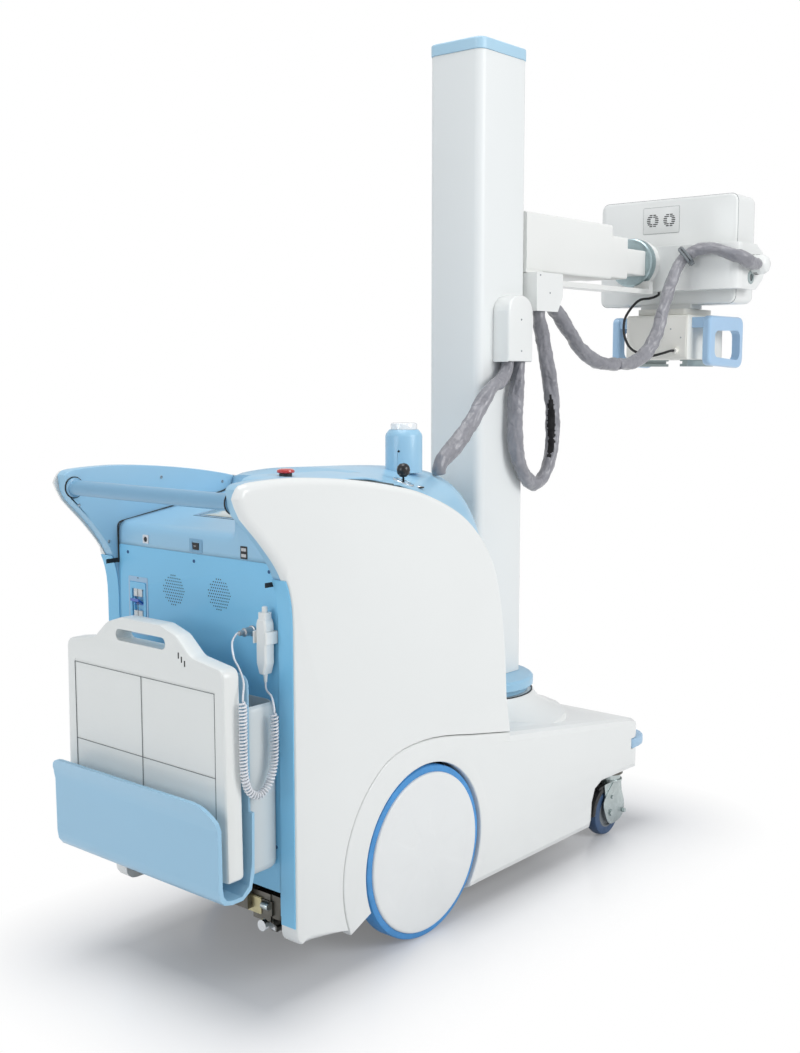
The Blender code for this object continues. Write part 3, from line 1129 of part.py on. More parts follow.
def cords():
    cord("handset_lead", HAND_LEAD, CORD_R, WHITE, 3.0)
    cord("handset_coil", HAND_COIL, COIL_R, WHITE, 2.0)
    cord("handset_tail", HAND_TAIL, CORD_R, WHITE, 3.0)
    cord("body_hose", BODY_HOSE, SLEEVE_R, SLEEVE, 1.6)
    cord("column_hose", COLUMN_HOSE, SLEEVE_R, SLEEVE, 1.6)
    cord("arm_hose", ARM_HOSE, SLEEVE_R, SLEEVE, 1.6)
    cord("head_hose", HEAD_HOSE, SLEEVE_R, SLEEVE, 1.6)
    cord("light_lead", LIGHT_LEAD, LEAD_R, DARK, 3.0)


def build():
    for side in (-1, 1):
        side_panel(side)
        wing_liner(side)
        wheel(side)
        caster(side)
        collimator_handle(side)
        knob(side)
    body_shell()
    top_controls()
    rear_panel()
    breaker_toggle()
    handle_bar()
    base_cover()
    front_bumper()
    base_frame()
    brake_pedal()
    power_unit()
    column_parts()
    hood_lower()
    arm_parts()
    hood_upper()
    trunnion()
    yoke()
    housing()
    collimator()
    flat_detector()
    detector_bin()
    storage_box()
    hand_switch()
    cords()


build()
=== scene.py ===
"""Looks for the mobile radiography unit: camera, light, cords, surfaces and small details."""
import bmesh
import bpy
import json
from math import cos, pi, radians, sin, sqrt
from mathutils import Matrix, Vector, noise

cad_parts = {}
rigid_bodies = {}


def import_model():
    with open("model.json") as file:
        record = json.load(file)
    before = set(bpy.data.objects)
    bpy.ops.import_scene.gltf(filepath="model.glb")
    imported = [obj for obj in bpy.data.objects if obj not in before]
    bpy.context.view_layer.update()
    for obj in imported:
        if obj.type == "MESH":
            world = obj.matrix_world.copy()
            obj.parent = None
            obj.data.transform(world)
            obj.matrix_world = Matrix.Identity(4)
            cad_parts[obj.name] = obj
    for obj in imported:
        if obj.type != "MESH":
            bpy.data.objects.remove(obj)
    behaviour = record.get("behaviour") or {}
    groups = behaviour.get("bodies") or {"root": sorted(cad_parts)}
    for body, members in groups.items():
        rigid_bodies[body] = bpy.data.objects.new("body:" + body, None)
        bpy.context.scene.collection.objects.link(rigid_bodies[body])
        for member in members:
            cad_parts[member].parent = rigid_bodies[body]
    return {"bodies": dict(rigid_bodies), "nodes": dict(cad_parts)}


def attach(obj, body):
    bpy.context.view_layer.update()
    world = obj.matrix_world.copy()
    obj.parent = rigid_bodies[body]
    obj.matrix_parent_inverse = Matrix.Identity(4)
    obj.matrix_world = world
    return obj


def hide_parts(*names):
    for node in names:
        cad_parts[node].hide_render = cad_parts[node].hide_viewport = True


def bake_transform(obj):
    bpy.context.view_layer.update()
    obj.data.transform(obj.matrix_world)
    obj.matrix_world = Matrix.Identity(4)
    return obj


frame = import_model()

NODES = frame["nodes"]
BODY_OF = {n: b for b, o in frame["bodies"].items() for n in NODES if NODES[n].parent == o}
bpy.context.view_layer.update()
SHIFT = Vector((-1.0495, 0.038, 0.0))  # from distances behind the detector to the part's own frame


SIDES = ((-1, "right"), (1, "left"))


def P(x, y, z):
    return Vector((x, y, z)) + SHIFT


def placed(name, data):
    """A new object in the scene."""
    item = bpy.data.objects.new(name, data)
    bpy.context.scene.collection.objects.link(item)
    return item


# Camera

cam = bpy.data.cameras.new("camera")
cam.lens = 44.2
cam.sensor_width = 36
cam.sensor_fit = "AUTO"
eye = placed("camera", cam)
eye.location = (-2.61168, -1.95221, 1.22849)
eye.rotation_euler = (radians(83.143), 0, radians(-49.7))
bpy.context.scene.camera = eye
bpy.context.scene.view_settings.view_transform = "Standard"


# Materials: every one is built from object coordinates, so it needs no unwrapping

def srgb(r, g, b):
    out = []
    for c in (r, g, b):
        c /= 255
        out.append(c / 12.92 if c <= 0.04045 else ((c + 0.055) / 1.055) ** 2.4)
    return tuple(out)


class Nodes:
    """Adds and joins nodes in the tree of a material or of the world."""

    def __init__(self, owner):
        owner.use_nodes = True
        self.tree = owner.node_tree

    def feed(self, slot, value):
        if isinstance(value, bpy.types.NodeSocket):
            self.tree.links.new(value, slot)
        else:
            slot.default_value = value

    def node(self, kind, slots=None, **settings):
        made = self.tree.nodes.new("ShaderNode" + kind)
        for key, value in settings.items():
            setattr(made, key, value)
        for key, value in (slots or {}).items():
            self.feed(made.inputs[key], value)
        return made

    def maths(self, kind, *values):
        return self.node("Math", dict(enumerate(values)), operation=kind).outputs[0]


class Maker(Nodes):
    """Builds one material from object coordinates."""

    def __init__(self, name):
        self.mat = bpy.data.materials.new(name)
        super().__init__(self.mat)
        self.shader = self.tree.nodes["Principled BSDF"]
        self.coords = self.node("TexCoord").outputs["Object"]

    def noise(self, scale, detail=3.0, rough=0.5, vector=None, distortion=0.0):
        slots = {"Vector": vector or self.coords, "Scale": scale, "Detail": detail, "Roughness": rough,
            "Distortion": distortion}
        return self.node("TexNoise", slots).outputs["Fac"]

    def ramp(self, fac, stops):
        r = self.node("ValToRGB", {"Fac": fac})
        for element, (place, colour) in zip(r.color_ramp.elements, (stops[0], stops[-1])):
            element.position, element.color = place, (*colour, 1)
        for place, colour in stops[1:-1]:
            r.color_ramp.elements.new(place).color = (*colour, 1)
        return r.outputs["Color"]

    def scaled(self, fac, low, high, a=0.35, b=0.65):
        slots = {"Value": fac, "From Min": a, "From Max": b, "To Min": low, "To Max": high}
        return self.node("MapRange", slots).outputs["Result"]

    def bump(self, height, strength, distance, onto=None):
        slots = {"Strength": strength, "Distance": distance, "Height": height}
        if onto:
            slots["Normal"] = onto
        return self.node("Bump", slots).outputs["Normal"]

    def set(self, **values):
        for key, value in values.items():
            self.feed(self.shader.inputs[key.replace("_", " ")], value)
        return self.mat


def tones(colour, spread):
    dark = tuple(c * (1 - spread) for c in colour)
    light = tuple(min(c * (1 + spread), 1) for c in colour)
    return [(0.3, dark), (0.7, light)]


def moulded(name, colour, rough=0.34, coat=0.25, grain=0.06, grain_scale=900):
    """Moulded or sprayed plastic: faint mottling, fine orange peel and a blotchy darkening towards the floor.
    """
    m = Maker(name)
    tint = m.ramp(m.noise(3, 2), tones(colour, 0.008))
    height = m.node("SeparateXYZ", {0: m.coords}).outputs["Z"]
    # Blotches of a darker copy of the colour, strongest at the floor and gone by 0.3 m up.
    darker_low_mask = m.maths("MULTIPLY", m.scaled(height, 1.0, 0.0, 0.02, 0.3),
        m.scaled(m.noise(9), 0.0, 0.12, 0.4, 0.8))
    darker_low_colour = (*[c * 0.6 for c in colour], 1)
    mix = m.node("Mix", {"Factor": darker_low_mask, "A": tint, "B": darker_low_colour}, data_type="RGBA")
    return m.set(Base_Color=mix.outputs["Result"],
        Roughness=m.scaled(m.noise(12, 2), rough - 0.015, rough + 0.025), Coat_Weight=coat,
        Coat_Roughness=0.12, IOR=1.48, Normal=m.bump(m.noise(grain_scale, 2), grain * 0.6, 0.0003))


def brushed(name, colour, rough, along, blotch, scale):
    """Bare metal: brush marks and blotches in tone."""
    m = Maker(name)
    stretched = m.node("Mapping", {"Vector": m.coords, "Scale": along}).outputs["Vector"]
    marks = m.noise(1.0, 3, 0.6, stretched)
    tint = m.ramp(m.noise(scale, 6, 0.7, distortion=0.6), tones(colour, blotch))
    return m.set(Base_Color=tint, Metallic=1.0, Roughness=m.scaled(marks, rough - 0.08, rough + 0.12),
        Normal=m.bump(marks, 0.1, 0.0006))


def rubber(name, colour, rough, scale, strength):
    m = Maker(name)
    tint = m.ramp(m.noise(30, 5), tones(colour, 0.12))
    return m.set(Base_Color=tint, Roughness=m.scaled(m.noise(90, 3), rough - 0.08, rough + 0.1),
        Normal=m.bump(m.noise(scale, 4), strength, 0.0008))


def coated_cloth(name, colour):
    """Coated sleeve cloth: fine weave under a satin skin, with crumpled creases that catch light."""
    m = Maker(name)
    wobble = m.node("TexNoise", {"Vector": m.coords, "Scale": 18}).outputs["Color"]
    warp = m.node("Mix", {"Factor": 0.06, "A": m.coords, "B": wobble}, data_type="VECTOR").outputs["Result"]
    creases = m.node("TexVoronoi", {"Vector": warp, "Scale": 34}, feature="DISTANCE_TO_EDGE")
    fold = m.bump(m.scaled(creases.outputs["Distance"], 0.0, 1.0, 0.0, 0.22), 0.35, 0.003)
    crumple = m.bump(m.noise(70, 5, 0.6), 0.35, 0.002, fold)
    return m.set(Base_Color=m.ramp(m.noise(26, 6, 0.65), tones(colour, 0.16)), Sheen_Weight=0.2,
        Roughness=m.scaled(m.noise(120, 3), 0.28, 0.42), Sheen_Roughness=0.4, Coat_Weight=0.3,
        Coat_Roughness=0.22, Normal=m.bump(m.noise(1500, 2), 0.15, 0.0004, crumple))


def glassy(name, colour, rough):
    m = Maker(name)
    tint = m.ramp(m.noise(9, 3), tones(colour, 0.06))
    return m.set(Base_Color=tint, Roughness=m.scaled(m.noise(40, 3), rough, rough + 0.06), Coat_Weight=1.0,
        Coat_Roughness=0.03)


WHITE = moulded("white_shell", srgb(232, 234, 232), 0.32, 0.35)
BLUE = moulded("blue_shell", srgb(154, 198, 224), 0.36, 0.22)
PALE_BLUE = moulded("pale_blue_lacquer", srgb(163, 196, 222), 0.42, 0.15, 0.1, 700)
BAR_BLUE = moulded("bar_lacquer", srgb(124, 170, 200), 0.38, 0.2, 0.08, 500)
PANEL_BLUE = moulded("panel_lacquer", srgb(132, 200, 236), 0.4, 0.15, 0.12, 1100)
COLUMN_WHITE = moulded("column_lacquer", srgb(232, 235, 234), 0.45, 0.08, 0.05, 1200)
CAP_BLUE = moulded("cap_blue", srgb(172, 208, 228), 0.42, 0.15)
DARK_BLUE = moulded("screw_blue", srgb(44, 92, 140), 0.4, 0.1)
ARM_WHITE = moulded("arm_lacquer", srgb(233, 234, 231), 0.36, 0.2, 0.1, 1200)
WARM = moulded("collimator_lacquer", srgb(238, 237, 230), 0.48, 0.08, 0.22, 1500)
RAIL_GREY = moulded("rail_grey", srgb(158, 172, 172), 0.4, 0.1, 0.2, 1200)
STORAGE = moulded("storage_lacquer", srgb(206, 213, 214), 0.42, 0.12, 0.16, 1300)
DETECTOR_EDGE = moulded("detector_edge", srgb(232, 234, 231), 0.34, 0.2, 0.14, 1400)
HUB_WHITE = moulded("hub_white", srgb(232, 234, 233), 0.34, 0.25, 0.08, 900)
HANDLE_BLUE = moulded("handle_blue", srgb(166, 200, 230), 0.3, 0.35)
TYRE_BLUE = rubber("tyre_blue", srgb(72, 146, 208), 0.5, 300, 0.15)
CASTER_TREAD = rubber("caster_tread", srgb(58, 84, 118), 0.45, 260, 0.2)
BLACK = rubber("black_rubber", srgb(26, 26, 28), 0.5, 500, 0.2)
BLACK_GLOSS = moulded("black_gloss", srgb(16, 16, 18), 0.28, 0.1, 0.05, 900)
LINE = rubber("seam_line", srgb(120, 124, 126), 0.7, 500, 0.1)
GREY_PLASTIC = moulded("clamp_grey", srgb(116, 122, 126), 0.4, 0.1, 0.2, 1200)
SLEEVE = coated_cloth("sleeve_cloth", srgb(136, 136, 142))
HOOK_TAPE = rubber("hook_tape", srgb(22, 21, 24), 0.85, 900, 0.8)
CORD_WHITE = rubber("cord_white", srgb(226, 228, 232), 0.38, 700, 0.08)
ZINC = brushed("zinc", srgb(186, 196, 196), 0.34, (60, 60, 60), 0.18, 22)
DISC_ALLOY = brushed("disc_alloy", srgb(168, 186, 190), 0.38, (40, 40, 40), 0.22, 26)
STEEL = brushed("steel_screw", srgb(176, 180, 184), 0.25, (300, 300, 300), 0.1, 40)
CHROME = brushed("chrome", srgb(214, 217, 220), 0.12, (120, 120, 120), 0.05, 20)
FRAME_STEEL = brushed("frame_steel", srgb(112, 110, 104), 0.45, (30, 30, 30), 0.25, 18)
PASSIVATED = brushed("passivated_plate", srgb(196, 188, 152), 0.36, (50, 50, 50), 0.2, 24)
RED = glassy("stop_red", srgb(196, 22, 24), 0.14)
TOGGLE_BLUE = glassy("toggle_blue", srgb(36, 92, 190), 0.2)
LENS = glassy("beacon_lens", srgb(240, 243, 245), 0.06)
SCREEN = glassy("screen_grey", srgb(196, 208, 204), 0.1)
SCREEN_DARK = glassy("screen_border", srgb(44, 62, 66), 0.1)


# Solids

def smooth(points, per=6):
    out = []
    for i in range(len(points) - 1):
        a, b = Vector(points[max(i - 1, 0)]), Vector(points[i])
        c, d = Vector(points[i + 1]), Vector(points[min(i + 2, len(points) - 1)])
        for k in range(per):
            t = k / per
            out.append(tuple(0.5 * (2 * b + (c - a) * t + (2 * a - 5 * b + 4 * c - d) * t**2
                + (3 * b - a - 3 * c + d) * t**3)))
    return out + [tuple(points[-1])]


def arc(centre, radius, start, end, steps):
    turns = [radians(start + (end - start) * k / steps) for k in range(steps + 1)]
    return [(centre[0] + radius * cos(a), centre[1] + radius * sin(a)) for a in turns]


def round_rect(low, high, radius, steps=6):
    (u0, v0), (u1, v1) = low, high
    out = arc((u1 - radius, v1 - radius), radius, 0, 90, steps)
    out += arc((u0 + radius, v1 - radius), radius, 90, 180, steps)
    out += arc((u0 + radius, v0 + radius), radius, 180, 270, steps)
    return out + arc((u1 - radius, v0 + radius), radius, 270, 360, steps)


def inset(loop, distance):
    area = sum(a[0] * b[1] - b[0] * a[1] for a, b in zip(loop, loop[1:] + loop[:1]))
    side = 1 if area > 0 else -1
    out = []
    for i, point in enumerate(loop):
        here = Vector(point)
        e1 = (here - Vector(loop[i - 1])).normalized()
        e2 = (Vector(loop[(i + 1) % len(loop)]) - here).normalized()
        n1 = Vector((-e1.y, e1.x)) * side
        m = (n1 + Vector((-e2.y, e2.x)) * side).normalized()
        out.append(tuple(here + m * distance / max(m.dot(n1), 0.3)))
    return out


PLANES = {"x": lambda u, v, w: (w, u, v), "y": lambda u, v, w: (u, w, v), "z": lambda u, v, w: (u, v, w)}


def grid(rows, closed=True, ring=False):
    """Faces between rows of points; a row of one point is a pole, a ring joins the last row to the first."""
    bm = bmesh.new()
    made = [[bm.verts.new(p) for p in row] for row in rows]
    count = max(len(row) for row in rows)
    for a, b in list(zip(made, made[1:])) + ([(made[-1], made[0])] if ring else []):
        for k in range(count if closed else count - 1):
            j = (k + 1) % count
            face = list(dict.fromkeys((a[k % len(a)], a[j % len(a)], b[j % len(b)], b[k % len(b)])))
            if len(face) > 2:
                bm.faces.new(face)
    return bm, made


def outward(bm):
    bmesh.ops.recalc_face_normals(bm, faces=bm.faces)
    return bm


def loft(rings):
    bm, rows = grid(rings)
    bm.faces.new(list(reversed(rows[0])))
    bm.faces.new(rows[-1])
    return outward(bm)


def prism(loop, axis, low, high):
    return loft([[PLANES[axis](u, v, w) for u, v in loop] for w in (low, high)])


def slab(loop, axis, low, high, radius, steps=5, both=False):
    sign = 1 if high > low else -1
    rim = [(radius * (1 - cos(pi / 2 * k / steps)), high - sign * radius * (1 - sin(pi / 2 * k / steps)))
        for k in range(steps + 1)]
    ends = [(d, low + high - w) for d, w in reversed(rim)] if both else [(0.0, low)]
    return loft([[PLANES[axis](u, v, w) for u, v in inset(loop, d)] for d, w in ends + rim])


def box(low, high):
    loop = [(low[0], low[1]), (high[0], low[1]), (high[0], high[1]), (low[0], high[1])]
    return prism(loop, "z", low[2], high[2])


def turned(profile, axis, centre, sides=64):
    rows = []
    for r, h in profile:
        turns = [2 * pi * k / sides for k in range(sides if r > 0 else 1)]
        rows.append([Vector(PLANES[axis](r * cos(a), r * sin(a), h)) + Vector(centre) for a in turns])
    return outward(grid(rows, ring=profile[0][0] > 0 and profile[-1][0] > 0)[0])


def rod(axis, centre, radius, low, high, sides=32):
    return turned([(0, low), (radius, low), (radius, high), (0, high)], axis, centre, sides)


def holder(bm, name="temporary"):
    mesh = bpy.data.meshes.new(name)
    bm.to_mesh(mesh)
    bm.free()
    return placed(name, mesh)


def combine(first, second, operation):
    a, b = holder(first), holder(second)
    mod = a.modifiers.new("cut", "BOOLEAN")
    mod.operation, mod.solver, mod.object = operation, "EXACT", b
    result = bmesh.new()
    result.from_mesh(a.evaluated_get(bpy.context.evaluated_depsgraph_get()).to_mesh())
    for item in (a, b):
        bpy.data.objects.remove(item)
    return result


def cut(first, *others):
    for other in others:
        first = combine(first, other, "DIFFERENCE")
    return first


def mirrored(half):
    """A turned profile from its upper half, given from the middle outwards."""
    return [(r, -h) for r, h in reversed(half)] + half


def joined(*parts):
    """Several separate solids in one mesh, for small details that are alike."""
    out = bmesh.new()
    for part in parts:
        mesh = bpy.data.meshes.new("part")
        part.to_mesh(mesh)
        part.free()
        out.from_mesh(mesh)
        bpy.data.meshes.remove(mesh)
    return out


def flipped(bm):
    bmesh.ops.transform(bm, matrix=Matrix.Diagonal((1, -1, 1, 1)), verts=bm.verts)
    bmesh.ops.reverse_faces(bm, faces=bm.faces)
    return bm


def sided(bm, side):
    """A solid drawn for side -1, mirrored for side 1."""
    return bm if side < 0 else flipped(bm)


def finish_edges(item, bevel, angle, segments=3):
    item.data.shade_smooth()
    item.data.set_sharp_from_angle(angle=radians(angle))
    if bevel:
        mod = item.modifiers.new("edges", "BEVEL")
        mod.width, mod.segments, mod.limit_method = bevel, segments, "ANGLE"
        mod.angle_limit = radians(angle)
        mod.harden_normals = True


def piece(name, bm, look, body="chassis", node=None, bevel=0.0, angle=32, segments=3):
    """One detailed piece, written in distances behind the detector, riding on a body."""
    bmesh.ops.translate(bm, verts=bm.verts, vec=SHIFT)
    item = holder(bm, name)
    item.data.materials.append(look)
    finish_edges(item, bevel, angle, segments)
    if node:
        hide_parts(node)
        body = BODY_OF[node]
    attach(item, body)
    return item


def second_look(item, look, chosen):
    """Gives the faces whose middle passes the test a second material."""
    item.data.materials.append(look)
    for face in item.data.polygons:
        if chosen(face.center - SHIFT):
            face.material_index = 1


def refined(node, look, bevel=0.0012, angle=30, segments=2):
    """The node's own shape with welded, rounded and smoothly shaded edges."""
    bm = bmesh.new()
    bm.from_mesh(NODES[node].data)
    bmesh.ops.remove_doubles(bm, verts=bm.verts, dist=0.00002)
    bmesh.ops.dissolve_limit(bm, angle_limit=radians(0.6), verts=bm.verts, edges=bm.edges)
    item = holder(outward(bm), node + "_skin")
    item.data.materials.append(look)
    finish_edges(item, bevel, angle, segments)
    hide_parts(node)
    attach(item, BODY_OF[node])
    return item


# Cords and hose sleeves

def route_of(points, step):
    """Points about one step apart on a smooth curve through the route, and the curve's length."""
    fine = [Vector(p) for p in smooth([P(*p) for p in points], 24)]
    total = length_of(fine)
    count = max(2, round(total / step))
    out, run, target = [], 0.0, 0.0
    for a, b in zip(fine, fine[1:]):
        length = (b - a).length
        while target <= run + length and len(out) < count:
            out.append(a.lerp(b, (target - run) / length if length else 0))
            target += total / count
        run += length
    return out + [fine[-1]], total


def frames(path):
    """A pair of side vectors at each point that turn as little as they can."""
    out, side = [], None
    for i in range(len(path)):
        ahead = (path[min(i + 1, len(path) - 1)] - path[max(i - 1, 0)]).normalized()
        if side is None:
            side = ahead.orthogonal().normalized()
        side = (side - ahead * side.dot(ahead)).normalized()
        out.append((side.copy(), ahead.cross(side)))
    return out


HOSE_R, SLEEVE_SIDES = 0.0165, 36
CORD_R, COIL_R, COIL_TURNS, COIL_SIDES = 0.0019, 0.0065, 58, 14


def length_of(path):
    return sum((b - a).length for a, b in zip(path, path[1:]))


def sleeve(name, points, node, seed, open_run=None, calm=(0.03, 0.03), swell=0.0023):
    """A cloth sleeve over cables: flattened, crumpled rings; open_run shows the black tape inside."""
    path, length = route_of(points, 0.0035)
    rings = []
    walls = frames(path)
    for i, here in enumerate(path):
        along = i / (len(path) - 1) * length
        ease = max(min(1, along / calm[0], (length - along) / calm[1]), 0.0) ** 0.8
        a, b = walls[i]
        spin = 1.2 * sin(along * 9 + seed) + 0.5 * sin(along * 31 + seed) + seed
        flat = 1 + 0.13 * ease * noise.noise(Vector((along * 7, seed, 0)))
        ring = []
        for k in range(SLEEVE_SIDES):
            t = 2 * pi * k / SLEEVE_SIDES
            base = HOSE_R * 0.95 * (1 + 0.14 * ease * cos(2 * (t - spin))) * flat
            at = Vector((cos(t) * 1.3 + seed * 3, sin(t) * 1.3, along * 24))
            ridge = 1 - abs(noise.noise(at)) * 2.6
            fine = 1 - abs(noise.noise(at * 2.3 + Vector((5, 9, seed)))) * 2.4
            pinch = noise.noise(Vector((t * 0.4 + seed, along * 60, 2.0)))
            lift = swell * ease * (0.75 * ridge + 0.35 * fine + 0.6 * pinch + 0.35)
            ring.append(here + (a * cos(t) + b * sin(t)) * (base + lift))
        rings.append(ring)
    item = holder(loft(rings), name)
    item.data.materials.append(SLEEVE)
    item.data.materials.append(HOOK_TAPE)
    if open_run:
        low, high, way = open_run
        for face in item.data.polygons:
            i = face.index // SLEEVE_SIDES
            if i >= len(path) - 1:
                continue
            along = i / (len(path) - 1) * length
            t = 2 * pi * (face.index % SLEEVE_SIDES + 0.5) / SLEEVE_SIDES
            a, b = walls[i]
            half = 0.5 * sin(pi * min(max((along - low) / (high - low), 0), 1)) ** 0.5
            half *= 1 + 0.5 * noise.noise(Vector((along * 110, seed, 4)))
            if low < along < high and (a * cos(t) + b * sin(t)).angle(Vector(way)) < half * 1.25:
                face.material_index = 1
    item.data.shade_smooth()
    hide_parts(node)
    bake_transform(item)


HOSE_TOP = 1.264
BODY_HOSE = [(0.79, -0.115, 0.9905), (0.79, -0.115, 1.003), (0.806, -0.114, 1.023), (0.845, -0.113, 1.048),
    (0.91, -0.113, 1.101), (0.985, -0.113, 1.18), (1.045, -0.108, 1.208), (1.071, -0.1045, 1.238),
    (1.071, -0.1045, HOSE_TOP)]
COLUMN_HOSE = [(1.122, -0.1045, HOSE_TOP), (1.122, -0.1045, 1.245), (1.106, -0.107, 1.157),
    (1.106, -0.107, 1.057), (1.139, -0.105, 0.98), (1.202, -0.1, 0.938), (1.264, -0.095, 0.97),
    (1.298, -0.09, 1.04), (1.3, -0.087, 1.153), (1.264, -0.086, 1.283), (1.236, -0.087, 1.358),
    (1.236, -0.087, 1.395)]
ARM_HOSE = [(1.272, -0.087, 1.425), (1.286, -0.087, 1.402), (1.327, -0.09, 1.369), (1.364, -0.095, 1.331),
    (1.413, -0.102, 1.286), (1.47, -0.109, 1.257), (1.51, -0.116, 1.248), (1.56, -0.125, 1.248)]
HEAD_HOSE = [(1.5605, -0.1251, 1.248), (1.61, -0.134, 1.2485), (1.65, -0.14, 1.261), (1.693, -0.145, 1.285),
    (1.731, -0.15, 1.334), (1.765, -0.152, 1.405), (1.805, -0.152, 1.478), (1.843, -0.162, 1.542),
    (1.86, -0.2, 1.571), (1.863, -0.25, 1.574), (1.864, -0.305, 1.556), (1.875, -0.333, 1.546),
    (1.905, -0.342, 1.536), (1.935, -0.342, 1.532), (1.9566, -0.342, 1.532)]
LIGHT_LEAD = [(1.9, -0.06, 1.4612), (1.8995, -0.059, 1.452), (1.89, -0.038, 1.443), (1.879, -0.008, 1.438),
    (1.875, 0.022, 1.41), (1.874, 0.04, 1.375), (1.874, 0.036, 1.328), (1.872, 0.008, 1.291),
    (1.867, -0.053, 1.274), (1.866, -0.095, 1.28), (1.874, -0.117, 1.2875), (1.8882, -0.119, 1.288)]
HAND_LEAD = [(0.103, -0.172, 0.727), (0.096, -0.172, 0.7268), (0.083, -0.174, 0.712),
    (0.067, -0.196, 0.689), (0.053, -0.226, 0.674), (0.042, -0.249, 0.654), (0.0335, -0.256, 0.632),
    (0.033, -0.256, 0.6215)]
HAND_COIL = [(0.033, -0.256, 0.621), (0.033, -0.256, 0.605), (0.0325, -0.256, 0.545), (0.034, -0.256, 0.48),
    (0.0465, -0.256, 0.445), (0.07, -0.256, 0.4325), (0.094, -0.256, 0.445), (0.1095, -0.256, 0.48),
    (0.113, -0.256, 0.53), (0.113, -0.256, 0.57), (0.113, -0.256, 0.583)]
HAND_TAIL = [(0.113, -0.256, 0.5835), (0.113, -0.256, 0.592), (0.116, -0.246, 0.612),
    (0.121, -0.229, 0.619), (0.1225, -0.2235, 0.627), (0.1225, -0.2235, 0.6355)]

sleeve("body_sleeve", BODY_HOSE, "body_hose", 1.0, swell=0.002)
sleeve("column_sleeve", COLUMN_HOSE, "column_hose", 2.0,
    (0.42, 0.66, (-1, -0.4, 0)))
sleeve("arm_sleeve", ARM_HOSE, "arm_hose", 3.0, calm=(0.05, 0.004))
sleeve("head_sleeve", HEAD_HOSE, "head_hose", 4.0, calm=(0.004, 0.03))


def curve_piece(name, places, radius, look, sides=3):
    curve = bpy.data.curves.new(name, "CURVE")
    curve.dimensions = "3D"
    curve.bevel_depth, curve.bevel_resolution, curve.use_fill_caps = radius, sides, True
    line = curve.splines.new("POLY")
    line.points.add(len(places) - 1)
    for spot, place in zip(line.points, places):
        spot.co = (*place, 1)
    curve.materials.append(look)
    made = placed(name + "_line", curve)
    mesh = bpy.data.meshes.new_from_object(made.evaluated_get(bpy.context.evaluated_depsgraph_get()))
    bpy.data.objects.remove(made)
    mesh.shade_smooth()
    return placed(name, mesh)


def hand_cord():
    """One thin cord: a straight lead, then the turns of the coil round the hanging loop, and the tail."""
    lead = route_of(HAND_LEAD, 0.004)[0]
    core = route_of(HAND_COIL, 0.0005)[0]
    side = Vector((0, 1, 0))
    path = lead[:-1]
    count, last = COIL_TURNS * COIL_SIDES, len(core) - 1
    for k in range(count + 1):
        t = k / count
        i = min(int(t * last), last - 1)
        here = core[i].lerp(core[i + 1], t * last - i)
        ahead = (core[min(i + 6, last)] - core[max(i - 6, 0)]).normalized()
        across = ahead.cross(side).normalized()
        ease = min(1, t * COIL_TURNS / 0.8, (1 - t) * COIL_TURNS / 0.8)
        angle = 2 * pi * k / COIL_SIDES
        wander = 1 + 0.04 * noise.noise(Vector((t * 30, 1, 2)))
        path.append(here + (side * cos(angle) + across * sin(angle)) * COIL_R * ease * wander)
    item = curve_piece("hand_cord", path, CORD_R, CORD_WHITE)
    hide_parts("handset_lead", "handset_coil")
    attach(item, "chassis")
    tail = route_of(HAND_TAIL, 0.003)[0]
    end = curve_piece("hand_cord_tail", tail, CORD_R, CORD_WHITE)
    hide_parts("handset_tail")
    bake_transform(end)


hand_cord()
lead_path = route_of(LIGHT_LEAD, 0.008)[0]
lead = curve_piece("collimator_lead", lead_path, 0.0038, BLACK, 4)
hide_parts("light_lead")
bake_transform(lead)


# The stage: pale floor with a painted shadow round the cart that fades to white further out, white
# surroundings for the camera, soft lamps

FOOTPRINT = (-0.265, 0.0, 0.7, 0.215)  # middle and half sizes of the cart's shadow, in the part's frame


